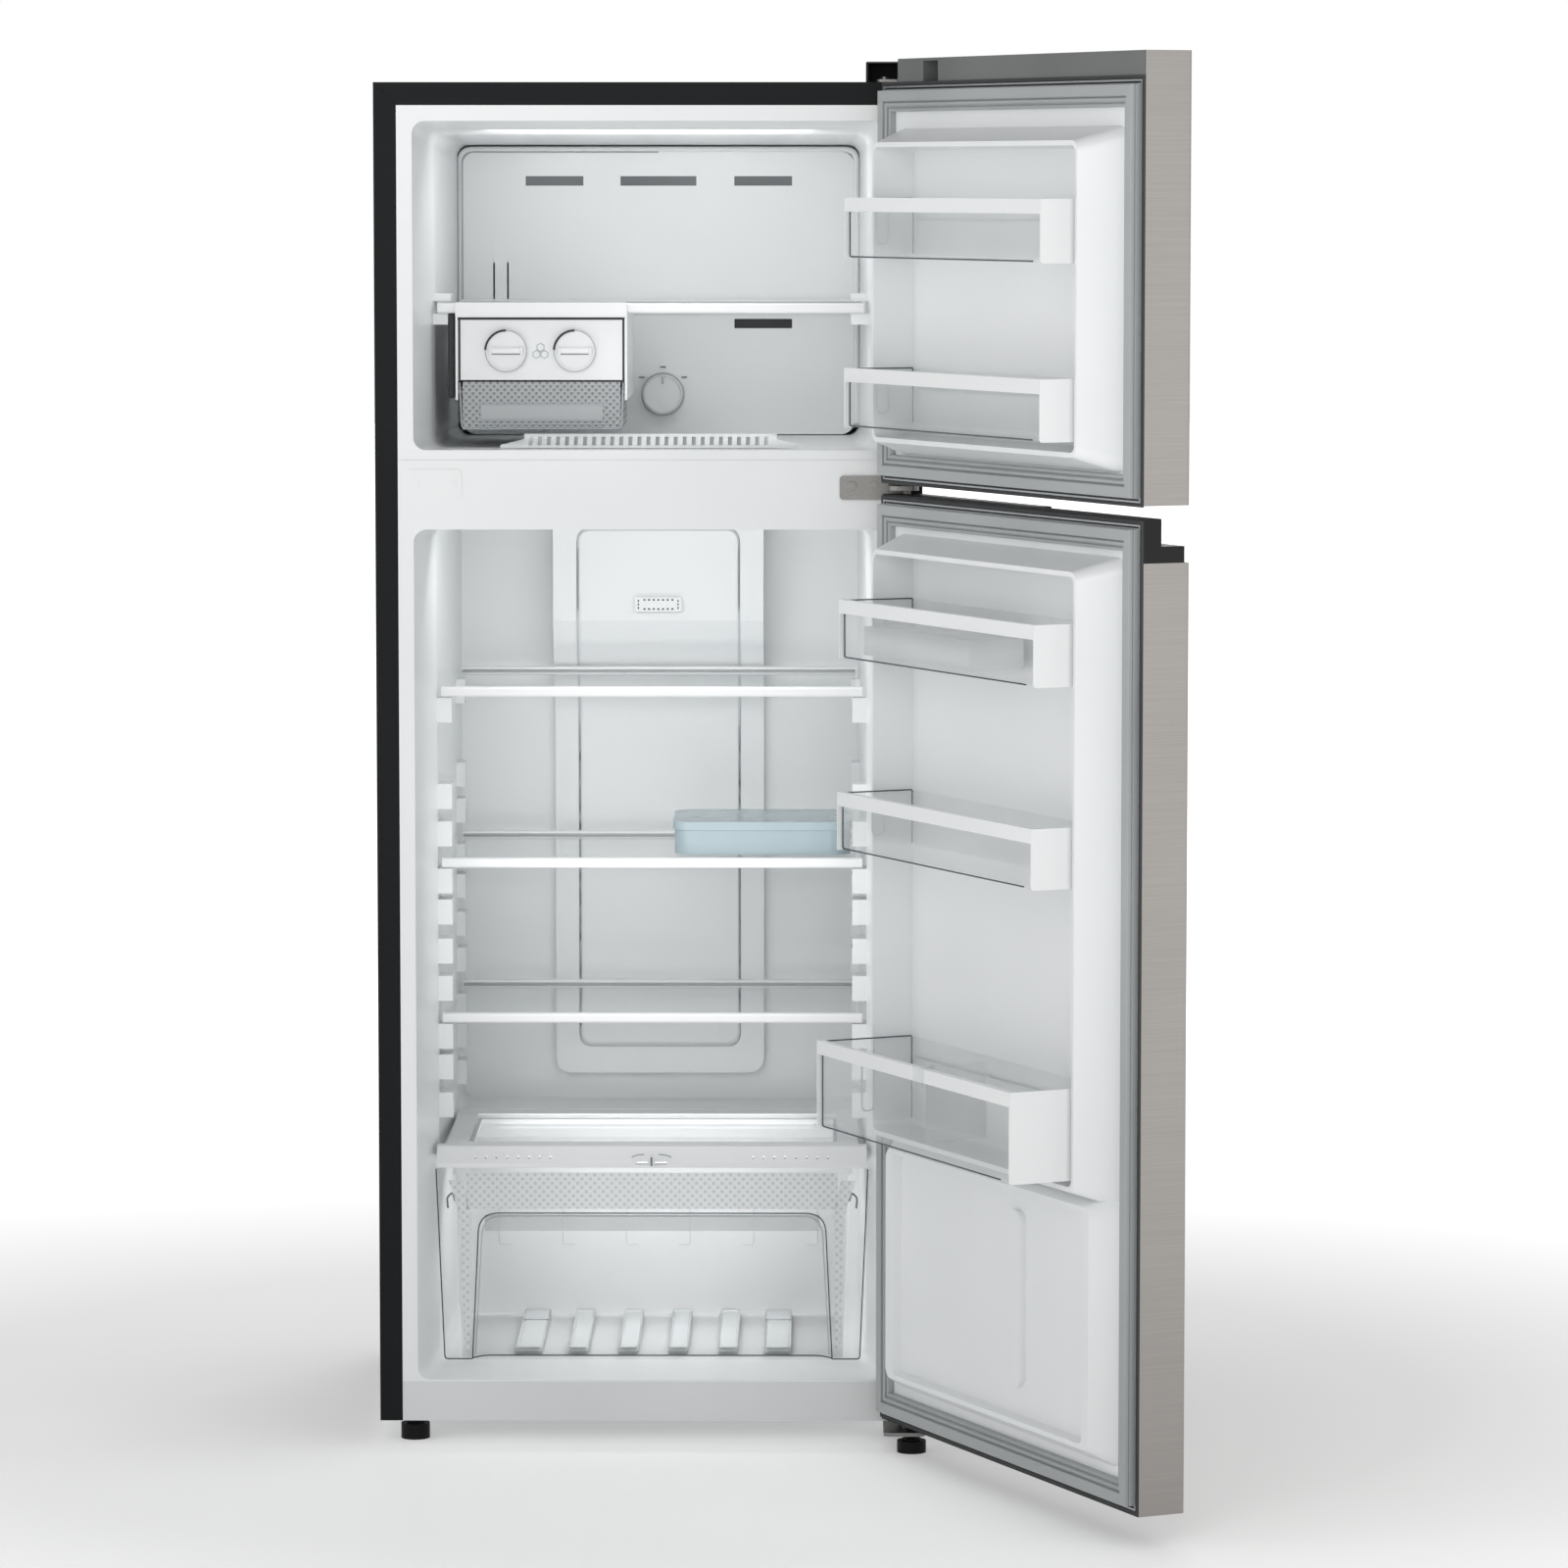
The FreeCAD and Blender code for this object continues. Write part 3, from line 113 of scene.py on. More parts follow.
def moulded(name, colour, rough, mottle=0.03, grain=1400.0, bump=0.05, alpha=1.0, coat=0.0, gloss=0.5):
    """Moulded plastic or paint: a broad faint mottle, uneven gloss and a fine skin."""
    material, nodes, links, shader = new_material(name)
    where = object_space(nodes, links)
    broad = noise(nodes, links, where, 5.0, 1.0)
    smudge = noise(nodes, links, where, 16.0, 1.0)
    skin = noise(nodes, links, where, grain, 2.0)
    tint = blend_colours(nodes, links, broad, shaded(colour, 1.0 - mottle), shaded(colour, 1.0 + mottle))
    links.new(tint, shader.inputs["Base Color"])
    links.new(spread(nodes, links, smudge, rough - 0.015, rough + 0.02), shader.inputs["Roughness"])
    relief(nodes, links, shader, skin, bump, 0.0002)
    shader.inputs["Alpha"].default_value = alpha
    shader.inputs["Coat Weight"].default_value = coat
    shader.inputs["Specular IOR Level"].default_value = gloss
    shader.inputs["Coat Roughness"].default_value = 0.12
    return material


def brushed(name, colour, rough, stretch, mottle=0.12, bump=0.12, metal=1.0):
    """Metal with a fine grain: stretch holds the texture scale along x, y and z."""
    material, nodes, links, shader = new_material(name)
    where = object_space(nodes, links, stretch)
    streak = noise(nodes, links, where, 1.0, 6.0, 0.65)
    broad = noise(nodes, links, object_space(nodes, links), 3.0, 3.0)
    tint = blend_colours(nodes, links, streak, shaded(colour, 1.0 - mottle), shaded(colour, 1.0 + mottle))
    links.new(tint, shader.inputs["Base Color"])
    links.new(spread(nodes, links, broad, rough - 0.04, rough + 0.06), shader.inputs["Roughness"])
    relief(nodes, links, shader, streak, bump, 0.0002)
    shader.inputs["Metallic"].default_value = metal
    return material


def galvanised(name, colour):
    """Zinc coating with its crystal spangle."""
    material, nodes, links, shader = new_material(name)
    where = object_space(nodes, links)
    cells = nodes.new("ShaderNodeTexVoronoi")
    cells.inputs["Scale"].default_value = 190.0
    links.new(where, cells.inputs["Vector"])
    grey = nodes.new("ShaderNodeRGBToBW")
    links.new(cells.outputs["Color"], grey.inputs["Color"])
    tint = blend_colours(nodes, links, grey.outputs["Val"], shaded(colour, 0.95), shaded(colour, 1.04))
    links.new(tint, shader.inputs["Base Color"])
    links.new(spread(nodes, links, grey.outputs["Val"], 0.40, 0.46), shader.inputs["Roughness"])
    relief(nodes, links, shader, noise(nodes, links, where, 600.0), 0.05, 0.0002)
    shader.inputs["Metallic"].default_value = 0.85
    return material


def clear(name, colour, alpha, rough=0.06, ripple=0.04):
    """Clear or tinted plastic and glass, as a thin see-through sheet."""
    material, nodes, links, shader = new_material(name)
    where = object_space(nodes, links)
    broad = noise(nodes, links, where, 9.0, 3.0)
    tint = blend_colours(nodes, links, broad, shaded(colour, 0.95), shaded(colour, 1.05))
    links.new(tint, shader.inputs["Base Color"])
    links.new(spread(nodes, links, broad, rough, rough + 0.05), shader.inputs["Roughness"])
    relief(nodes, links, shader, noise(nodes, links, where, 45.0), ripple, 0.0005)
    shader.inputs["Alpha"].default_value = alpha
    shader.inputs["IOR"].default_value = 1.5
    return material


def diamond_dots(name, colour, alpha, pitch=0.0052, dark=0.55):
    """Clear plastic with a moulded grid of small diamond-shaped dimples."""
    material, nodes, links, shader = new_material(name)
    where = object_space(nodes, links)
    split = nodes.new("ShaderNodeSeparateXYZ")
    links.new(where, split.inputs["Vector"])
    waves = []
    for axis in ("X", "Z"):
        turn = nodes.new("ShaderNodeMath")
        turn.operation = "MULTIPLY"
        turn.inputs[1].default_value = 2.0 * math.pi / pitch
        links.new(split.outputs[axis], turn.inputs[0])
        wave = nodes.new("ShaderNodeMath")
        wave.operation = "SINE"
        links.new(turn.outputs["Value"], wave.inputs[0])
        waves.append(wave.outputs["Value"])
    dots = nodes.new("ShaderNodeMath")
    dots.operation = "MULTIPLY"
    links.new(waves[0], dots.inputs[0])
    links.new(waves[1], dots.inputs[1])
    tint = blend_colours(nodes, links, dots.outputs["Value"], colour, shaded(colour, dark), 0.15, 0.5)
    links.new(tint, shader.inputs["Base Color"])
    links.new(spread(nodes, links, dots.outputs["Value"], 0.08, 0.2, 0.0, 1.0), shader.inputs["Roughness"])
    relief(nodes, links, shader, dots.outputs["Value"], 0.5, 0.0006)
    shader.inputs["Alpha"].default_value = alpha
    return material


def foam_skin(name, colour):
    material, nodes, links, shader = new_material(name)
    where = object_space(nodes, links)
    cells = nodes.new("ShaderNodeTexVoronoi")
    cells.inputs["Scale"].default_value = 500.0
    links.new(where, cells.inputs["Vector"])
    broad = noise(nodes, links, where, 12.0, 4.0)
    tint = blend_colours(nodes, links, broad, shaded(colour, 0.85), colour)
    links.new(tint, shader.inputs["Base Color"])
    relief(nodes, links, shader, cells.outputs["Distance"], 0.4, 0.0006)
    shader.inputs["Roughness"].default_value = 0.85
    return material


WHITE = (0.80, 0.815, 0.82)
MATERIALS = {
    "case_black": moulded("case_black", (0.009, 0.010, 0.011), 0.50, 0.05, 1800.0, 0.10, gloss=0.12),
    "zinc_sheet": galvanised("zinc_sheet", (0.47, 0.485, 0.50)),
    "zinc_steel": brushed("zinc_steel", (0.25, 0.245, 0.235), 0.38, (220.0, 220.0, 900.0), 0.15, 0.1, 0.8),
    "base_paint": moulded("base_paint", (0.68, 0.695, 0.70), 0.40),
    "foam": foam_skin("foam", (0.80, 0.72, 0.50)),
    "liner_white": moulded("liner_white", WHITE, 0.34, 0.015, 1500.0, 0.03, coat=0.15),
    "trim_white": moulded("trim_white", (0.80, 0.81, 0.815), 0.30, 0.012, 1300.0, 0.03, coat=0.2),
    "tray_grey": moulded("tray_grey", (0.70, 0.73, 0.75), 0.38),
    "aluminium": brushed("aluminium", (0.78, 0.79, 0.80), 0.30, (500.0, 90.0, 90.0)),
    "motor_black": moulded("motor_black", (0.02, 0.02, 0.022), 0.50, 0.1, gloss=0.2),
    "compressor_black": moulded("compressor_black", (0.014, 0.014, 0.016), 0.30, 0.15, 900.0, 0.2),
    "shelf_glass": clear("shelf_glass", (0.80, 0.86, 0.88), 0.14, 0.03, 0.01),
    "clear_plastic": clear("clear_plastic", (0.84, 0.875, 0.885), 0.16),
    "clear_grey": diamond_dots("clear_grey", (0.44, 0.465, 0.475), 0.85, 0.0078, 0.5),
    "clear_blue": clear("clear_blue", (0.47, 0.58, 0.62), 0.75, 0.14),
    "door_steel": brushed("door_steel", (0.345, 0.325, 0.308), 0.42, (6.0, 6.0, 700.0), 0.07, 0.08, 0.6),
    "cap_grey": moulded("cap_grey", (0.15, 0.155, 0.155), 0.42, 0.08, gloss=0.4),
    "cap_black": moulded("cap_black", (0.012, 0.012, 0.013), 0.45, 0.15, gloss=0.2),
    "gasket_grey": moulded("gasket_grey", (0.36, 0.38, 0.38), 0.55, 0.05, 900.0, 0.1),
    "foot_black": moulded("foot_black", (0.006, 0.006, 0.007), 0.50, 0.2, gloss=0.15),
}


def dress_cad_nodes():
    """Gives each carried-over CAD node the procedural material of its slot."""
    for cad_object in frame["nodes"].values():
        for index, material_slot in enumerate(cad_object.material_slots):
            slot_name = material_slot.material.name.split(".")[0]
            cad_object.material_slots[index].material = MATERIALS[slot_name]
    frame["nodes"]["crisper_drawer"].material_slots[0].material = DRAWER_CLEAR


# --------------------------------------------------------------------- staging


def make_floor():
    mesh = bpy.data.meshes.new("floor")
    half = 30.0
    corners = [(-half, -half, 0.0), (half, -half, 0.0), (half, half, 0.0), (-half, half, 0.0)]
    mesh.from_pydata(corners, [], [(0, 1, 2, 3)])
    floor = bpy.data.objects.new("floor", mesh)
    bpy.context.scene.collection.objects.link(floor)
    material, nodes, links, shader = new_material("floor_pale")
    where = object_space(nodes, links)
    patch = noise(nodes, links, where, 1.5)
    tint = blend_colours(nodes, links, patch, (0.90, 0.90, 0.90), (0.92, 0.92, 0.92))
    links.new(tint, shader.inputs["Base Color"])
    shader.inputs["Roughness"].default_value = 0.9
    shader.inputs["Specular IOR Level"].default_value = 0.0
    distance = nodes.new("ShaderNodeVectorMath")
    distance.operation = "LENGTH"
    links.new(where, distance.inputs[0])
    shader.inputs["Emission Color"].default_value = (1.0, 1.0, 1.0, 1.0)
    glow = spread(nodes, links, distance.outputs["Value"], 0.22, 1.0, 0.9, 3.5)
    links.new(glow, shader.inputs["Emission Strength"])
    mesh.materials.append(material)


def make_light(name, location, target, size, power):
    data = bpy.data.lights.new(name, "AREA")
    data.shape = "RECTANGLE"
    data.size, data.size_y = size
    data.energy = power
    light = bpy.data.objects.new(name, data)
    light.location = location
    light.rotation_euler = (Vector(target) - Vector(location)).to_track_quat("-Z", "Y").to_euler()
    bpy.context.scene.collection.objects.link(light)


def make_lights():
    world = bpy.data.worlds.new("studio")
    world.use_nodes = True
    background = world.node_tree.nodes["Background"]
    background.inputs["Color"].default_value = (1.0, 1.0, 1.0, 1.0)
    nodes, links = world.node_tree.nodes, world.node_tree.links
    seen = nodes.new("ShaderNodeLightPath").outputs["Is Camera Ray"]
    links.new(spread(nodes, links, seen, 0.42, 1.0, 0.0, 1.0), background.inputs["Strength"])
    bpy.context.scene.world = world
    make_light("front_soft", (-0.5, -4.4, 2.2), (0.0, 0.0, 0.85), (2.4, 2.0), 35.0)
    make_light("left_soft", (-3.2, -1.6, 1.9), (0.1, -0.2, 0.9), (1.6, 2.4), 12.0)
    make_light("right_soft", (3.4, -2.6, 1.6), (0.4, -0.4, 0.8), (1.4, 2.4), 10.0)
    make_light("back_soft", (0.6, 3.2, 2.6), (0.0, 0.2, 0.9), (2.4, 1.8), 34.0)
    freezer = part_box("evaporator_cover")
    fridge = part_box("air_duct_cover")
    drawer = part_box("crisper_drawer")
    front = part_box("inner_liner")[0][1]
    freezer_place = (0.0, front + 0.06, freezer[1][2] + 0.005)
    make_light("freezer_lamp", freezer_place, (0.0, 0.1, 1.22), (0.36, 0.08), 0.52)
    make_light("fridge_lamp", (0.0, front + 0.08, fridge[1][2] - 0.01), (0.0, 0.12, 0.78), (0.40, 0.10), 0.58)
    make_light("ice_lamp", (0.10, front + 0.02, 1.19), (-0.10, 0.15, 1.15), (0.30, 0.05), 0.06)
    make_light("shelf_lamp", (0.0, front + 0.02, 0.62), (0.0, 0.2, 0.60), (0.36, 0.30), 0.32)
    make_light("drawer_lamp", (0.0, front + 0.20, drawer[1][2] - 0.01), (0.0, 0.0, 0.10), (0.36, 0.16), 0.74)


def make_camera():
    data = bpy.data.cameras.new("camera")
    data.sensor_width = 36.0
    data.lens = 150.4
    data.clip_start = 0.1
    data.clip_end = 100.0
    camera = bpy.data.objects.new("camera", data)
    camera.location = (0.1891, -7.4716, 1.3983)
    camera.rotation_euler = (math.pi / 2.0 - 0.0923, 0.0, 0.0057)
    bpy.context.scene.collection.objects.link(camera)
    bpy.context.scene.camera = camera


make_camera()
make_lights()
make_floor()
bpy.context.scene.view_settings.view_transform = "Standard"

# -------------------------------------------------------------- shape helpers

MM = 0.001
# INK_AND_SHADE prints the humidity and dial marks and also paints the shadow line under each ice knob's bar.
INK_AND_SHADE = moulded("ink_and_shade_grey", (0.16, 0.18, 0.19), 0.45, 0.1)
# EDGE and EDGE_SOFT colour thin lines of painted shade along clear-plastic edges, outlines, grooves and gaps;
# EDGE also colours the drawer clips, and EDGE_SOFT the printed ice symbol and the dial pointer.
EDGE = moulded("edge_dark", (0.055, 0.075, 0.085), 0.25, 0.1)
EDGE_SOFT = moulded("edge_soft", (0.42, 0.46, 0.48), 0.30, 0.05)
# GROOVE_SHADE is painted shade: the darker band in the duct cover's recess, the shadow ring round the dial's
# foot and the ring on the dial's face.
GROOVE_SHADE = moulded("groove_white", (0.60, 0.63, 0.64), 0.40, 0.03)
# VENT_SHADE paints the shade seen through the freezer cover's upper vents.
VENT_SHADE = moulded("vent_shade_grey", (0.20, 0.21, 0.215), 0.7, 0.25)
# SHADE_AND_MARK_DARK paints the shadow in gaps and slots, behind a vent and beside the ice maker, and also
# draws the ice knobs' dark turn marks.
SHADE_AND_MARK_DARK = moulded("slot_dark", (0.035, 0.036, 0.038), 0.7, 0.1)
COPPER = brushed("copper", (0.78, 0.40, 0.26), 0.30, (60.0, 60.0, 60.0), 0.1, 0.05)
DRAWER_CLEAR = clear("drawer_clear", (0.86, 0.89, 0.90), 0.08)
FROSTED = clear("frosted_white", (0.86, 0.88, 0.88), 0.50, 0.35)
RIB_PALE = moulded("rib_pale", (0.52, 0.545, 0.55), 0.30, 0.02)
BUCKET_PALE = moulded("bucket_pale", (0.42, 0.44, 0.45), 0.35, 0.02)
CAP_PALE = moulded("cap_pale", (0.48, 0.50, 0.51), 0.30, 0.02)
# GRIP_SHADE paints the shade in the crisper drawer's grip recess.
GRIP_SHADE = clear("grip_shade_clear", (0.66, 0.70, 0.71), 0.22, 0.15)


def door_space(joint_name):
    """Turns a shape drawn with the door shut to where the open door holds it."""
    joint = next(j for j in frame["joints"] if j["name"] == joint_name)
    hinge = Vector(joint["pos_m"])
    turn = Matrix.Rotation(-math.radians(joint["range_deg"][0]), 4, "Z")
    return Matrix.Translation(hinge) @ turn @ Matrix.Translation(-hinge)


OPEN = door_space("fridge_door_hinge")
SHUT = OPEN.inverted()
REST = Matrix.Identity(4)


def shut_box(node):
    """Lowest and highest corner of a door node with the door shut."""
    points = [SHUT @ v.co for v in frame["nodes"][node].data.vertices]
    low = Vector([min(p[i] for p in points) for i in range(3)])
    high = Vector([max(p[i] for p in points) for i in range(3)])
    return low, high


def finish_piece(name, mesh, body, material, space=REST, smooth=True):
    mesh.transform(space)
    mesh.materials.append(material)
    for polygon in mesh.polygons:
        polygon.use_smooth = smooth
    piece = bpy.data.objects.new(name, mesh)
    bpy.context.scene.collection.objects.link(piece)
    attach(piece, body)
    return piece


def mesh_from(bm, name):
    """Turns a finished bmesh into a mesh of that name."""
    mesh = bpy.data.meshes.new(name)
    bm.to_mesh(mesh)
    bm.free()
    return mesh


def tubes(name, lines, radius, body, material, space=REST, closed=False):
    """Round bars of one radius along lists of points, as one mesh."""
    curve = bpy.data.curves.new(name, "CURVE")
    curve.dimensions = "3D"
    curve.bevel_depth = radius
    curve.bevel_resolution = 3
    curve.use_fill_caps = True
    for line in lines:
        spline = curve.splines.new("POLY")
        spline.points.add(len(line) - 1)
        for point, place in zip(spline.points, line):
            point.co = (*place, 1.0)
        spline.use_cyclic_u = closed
    holder = bpy.data.objects.new(name + "_curve", curve)
    mesh = bpy.data.meshes.new_from_object(holder)
    mesh.name = name
    bpy.data.objects.remove(holder)
    return finish_piece(name, mesh, body, material, space)


def rounded(points, radius, closed=False, steps=6):
    """A polyline whose corners are replaced by arcs of about that radius."""
    points = [Vector(p) for p in points]
    count = len(points)
    line = []
    for i, corner in enumerate(points):
        if not closed and i in (0, count - 1):
            line.append(corner)
            continue
        before, after = points[i - 1], points[(i + 1) % count]
        back, ahead = before - corner, after - corner
        reach = min(radius, back.length * 0.49, ahead.length * 0.49)
        start, stop = corner + back.normalized() * reach, corner + ahead.normalized() * reach
        for step in range(steps + 1):
            t = step / steps
            line.append(start * (1 - t) ** 2 + corner * 2 * t * (1 - t) + stop * t ** 2)
    return line


def circle(centre, radius, start=0.0, stop=360.0, steps=32, plane="xz"):
    """Points on an arc in a plane that faces the front or the side."""
    line = []
    for step in range(steps + 1):
        angle = math.radians(start + (stop - start) * step / steps)
        across, up = radius * math.cos(angle), radius * math.sin(angle)
        offset = Vector((across, 0.0, up)) if plane == "xz" else Vector((across, up, 0.0))
        line.append(Vector(centre) + offset)
    return line


def slab(bm, low, high, bevel=0.0, segments=3):
    """Adds a bevelled block between two corners to a bmesh."""
    low, high = Vector(low), Vector(high)
    made = bmesh.ops.create_cube(bm, size=1.0)["verts"]
    middle, size = (low + high) / 2, high - low
    for vertex in made:
        vertex.co = Vector([middle[i] + vertex.co[i] * size[i] for i in range(3)])
    if bevel:
        edges = list({e for v in made for e in v.link_edges})
        bmesh.ops.bevel(bm, geom=edges, offset=bevel, segments=segments, profile=0.6, affect="EDGES")


def slabs(name, blocks, bevel, body, material, space=REST):
    bm = bmesh.new()
    for low, high in blocks:
        slab(bm, low, high, bevel)
    mesh = mesh_from(bm, name)
    return finish_piece(name, mesh, body, material, space)


def plates(name, outlines, front, back, body, material, space=REST):
    """Thin flat plates: each outline is (x, z) points, thickened between two y values."""
    bm = bmesh.new()
    for outline in outlines:
        near = [bm.verts.new((x, front, z)) for x, z in outline]
        far = [bm.verts.new((x, back, z)) for x, z in outline]
        bm.faces.new(near)
        bm.faces.new(list(reversed(far)))
        for i in range(len(outline)):
            k = (i + 1) % len(outline)
            bm.faces.new((near[k], near[i], far[i], far[k]))
    bmesh.ops.recalc_face_normals(bm, faces=bm.faces)
    mesh = mesh_from(bm, name)
    return finish_piece(name, mesh, body, material, space, smooth=False)


def ring(name, low, high, profile, body, material, space=REST):
    """Sweeps a profile of (inset, depth) points round an upright rectangle, mitred."""
    bm = bmesh.new()
    corners = (
        (low[0], low[2], 1, 1), (high[0], low[2], -1, 1),
        (high[0], high[2], -1, -1), (low[0], high[2], 1, -1),
    )
    loops = []
    for x, z, inward_x, inward_z in corners:
        loops.append([
            bm.verts.new((x + inward_x * inset, depth, z + inward_z * inset)) for inset, depth in profile
        ])
    count = len(profile)
    for i in range(4):
        here, there = loops[i], loops[(i + 1) % 4]
        for k in range(count):
            n = (k + 1) % count
            bm.faces.new((here[k], there[k], there[n], here[n]))
    bmesh.ops.recalc_face_normals(bm, faces=bm.faces)
    mesh = mesh_from(bm, name)
    return finish_piece(name, mesh, body, material, space, smooth=False)


def lathe(name, profiles, axis, body, material, segments=24):
    """Turned shapes: each profile is a foot point and (radius, height) pairs along one axis."""
    bm = bmesh.new()
    for foot, outline in profiles:
        rings = []
        for radius, height in outline:
            loop = []
            for step in range(segments):
                angle = 2.0 * math.pi * step / segments
                a, b = radius * math.cos(angle), radius * math.sin(angle)
                offset = Vector((height, a, b)) if axis == "X" else Vector((a, height, b))
                loop.append(bm.verts.new(Vector(foot) + offset))
            rings.append(loop)
        for near, far in zip(rings, rings[1:]):
            for i in range(segments):
                k = (i + 1) % segments
                bm.faces.new((near[i], near[k], far[k], far[i]))
        bm.faces.new(rings[0])
        bm.faces.new(list(reversed(rings[-1])))
    bmesh.ops.recalc_face_normals(bm, faces=bm.faces)
    mesh = mesh_from(bm, name)
    return finish_piece(name, mesh, body, material)


# -------------------------------------------------------------- door gaskets


def make_gasket(door):
    """The magnetic seal: a flat sealing strip, bellows beside it and a lip inside, with a dark line of
    painted shade along its groove.
    """
    low, high = shut_box(f"{door}_gasket")
    base, deep = low[1], high[1] - low[1]
    shape = [
        (0.0, 0.0), (0.0, 0.42), (1.6, 0.50), (0.4, 0.62), (0.4, 0.91), (1.2, 0.965), (11.0, 0.965),
        (11.8, 0.91), (11.8, 0.66), (13.4, 0.58), (13.4, 0.72), (14.4, 0.80), (16.6, 0.80), (17.6, 0.70),
        (17.6, 0.52), (19.0, 0.46), (19.6, 0.60), (21.0, 0.64), (22.6, 0.56), (23.2, 0.30), (23.2, 0.0),
    ]
    profile = [(inset * MM, base + share * deep) for inset, share in shape]
    gasket = ring(f"{door}_seal", low, high, profile, door, MATERIALS["gasket_grey"], OPEN)
    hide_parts(f"{door}_gasket")
    # A dark line of painted shade along the seal's groove.
    inset, y = 12.6 * MM, base + 0.5 * deep
    left, right, bottom, top_edge = low[0] + inset, high[0] - inset, low[2] + inset, high[2] - inset
    groove = [(left, y, bottom), (right, y, bottom), (right, y, top_edge), (left, y, top_edge)]
    tubes(f"{door}_seal_groove_shade", [groove], 0.9 * MM, door, EDGE, OPEN, closed=True)


# ------------------------------------------------------------------ balconies


def make_balcony_edges(name, end_cap):
    """Dark and grey lines of painted shade that show along the clear tub's cut edges, its lug slot and its
    back edge.
    """
    post = 6.0 * MM
    low, high = shut_box(f"{name}_bin")
    rail_top = shut_box(f"{name}_rail")[1][2]
    front, back = high[1], low[1]
    hinge_side, free_side = high[0], low[0]
    window_top = rail_top - 15.0 * MM
    inner, outer = hinge_side - post, free_side + end_cap
    face, foot = front + 0.2 * MM, low[2] + 1.0 * MM
    # Each line below is painted shade along a clear edge: dark on the window and the side, grey on the lug
    # slot and the back edge.
    window = rounded([(inner, face, window_top), (inner, face, foot), (outer, face, foot)], 3.0 * MM)
    tubes(f"{name}_window_edge", [window], 0.9 * MM, name, EDGE, OPEN)
    side_x, side_y, side_top = hinge_side - 1.2 * MM, back + 2.0 * MM, window_top + 14.0 * MM
    side = rounded([
        (side_x, front - 4.0 * MM, side_top), (side_x, side_y, side_top), (side_x, side_y, low[2] + 3.0 * MM),
    ], 2.0 * MM)
    tubes(f"{name}_side_edge", [side], 0.8 * MM, name, EDGE, OPEN)
    middle, slot_half, slot_x = (front + back) / 2, 7.0 * MM, side_x - 1.0 * MM
    near, far = middle - slot_half, middle + slot_half
    slot_low, slot_high = low[2] + 14.0 * MM, window_top + 4.0 * MM
    slot = rounded([
        (slot_x, near, slot_high), (slot_x, near, slot_low),
        (slot_x, far, slot_low), (slot_x, far, slot_high),
    ], 6.0 * MM)
    tubes(f"{name}_lug_slot_shade", [slot], 0.8 * MM, name, EDGE_SOFT, OPEN)
    back_edge = [(x, back + 1.0 * MM, window_top - 8.0 * MM) for x in (inner, outer)]
    tubes(f"{name}_back_edge", [back_edge], 0.6 * MM, name, EDGE_SOFT, OPEN)


def make_egg_tray():
    """A frosted tray with two rows of cups, inside the top fridge balcony."""
    low, high = shut_box("fridge_upper_balcony_bin")
    x_low, x_high = low[0] + 168.0 * MM, high[0] - 34.0 * MM
    y_low, y_high = low[1] + 12.0 * MM, high[1] - 9.0 * MM
    floor, top = low[2] + 5.0 * MM, low[2] + 36.0 * MM
    columns, rows = 6, 2
    across, along = 96, 32
    cup_size, cup_depth = 0.18, 20.0 * MM
    bm = bmesh.new()
    grid = []
    for i in range(across + 1):
        line = []
        for j in range(along + 1):
            u, v = i / across, j / along
            cup_u, cup_v = (u * columns) % 1.0 - 0.5, (v * rows) % 1.0 - 0.5
            reach = 1.0 - (cup_u ** 2 + cup_v ** 2) / cup_size
            sink = cup_depth * math.sqrt(reach) if reach > 0.0 else 0.0
            x, y = x_low + (x_high - x_low) * u, y_low + (y_high - y_low) * v
            line.append(bm.verts.new((x, y, top - sink)))
        grid.append(line)
    for i in range(across):
        for j in range(along):
            bm.faces.new((grid[i][j], grid[i + 1][j], grid[i + 1][j + 1], grid[i][j + 1]))
    rim = [e for e in bm.edges if e.is_boundary]
    shadow_ring = bmesh.ops.extrude_edge_only(bm, edges=rim)["geom"]
    for vertex in [g for g in shadow_ring if isinstance(g, bmesh.types.BMVert)]:
        vertex.co.z = floor
    bmesh.ops.recalc_face_normals(bm, faces=bm.faces)
    mesh = mesh_from(bm, "egg_tray")
    tray = finish_piece("egg_tray", mesh, "fridge_upper_balcony", FROSTED, OPEN)
    thick = tray.modifiers.new("wall", "SOLIDIFY")
    thick.thickness = 1.2 * MM
    thick.offset = -1.0


def make_door_edge(door):
    """A dark strip of painted shadow in the gap between the seal and the steel skin, and the light return
    flange.
    """
    low, high = shut_box(f"{door}_gasket")
    base = low[1]
    shadow_gap_shape = ((-8.6, -0.6), (-8.6, 1.6), (-5.4, 1.6), (-5.0, 0.4), (-0.6, 0.4), (-0.6, -0.6))
    flange_shape = ((-4.4, 0.3), (-4.4, 1.5), (-2.6, 1.5), (-2.6, 0.3))
    shadow_gap = [(inset * MM, base + rise * MM) for inset, rise in shadow_gap_shape]
    flange = [(inset * MM, base + rise * MM) for inset, rise in flange_shape]
    # The dark strip is painted shadow in the gap between seal and skin.
    ring(f"{door}_edge_shadow_gap", low, high, shadow_gap, door, SHADE_AND_MARK_DARK, OPEN)
    ring(f"{door}_edge_flange", low, high, flange, door, MATERIALS["zinc_sheet"], OPEN)


dress_cad_nodes()
for door in ("freezer_door", "fridge_door"):
    make_gasket(door)
    make_door_edge(door)
for balcony, cap_width in (
    ("freezer_upper_balcony", 21.0), ("freezer_lower_balcony", 21.0), ("fridge_upper_balcony", 21.0),
    ("fridge_middle_balcony", 21.0), ("bottle_balcony", 24.0),
):
    make_balcony_edges(balcony, cap_width * MM)
make_egg_tray()

# ------------------------------------------------------------- crisper drawer


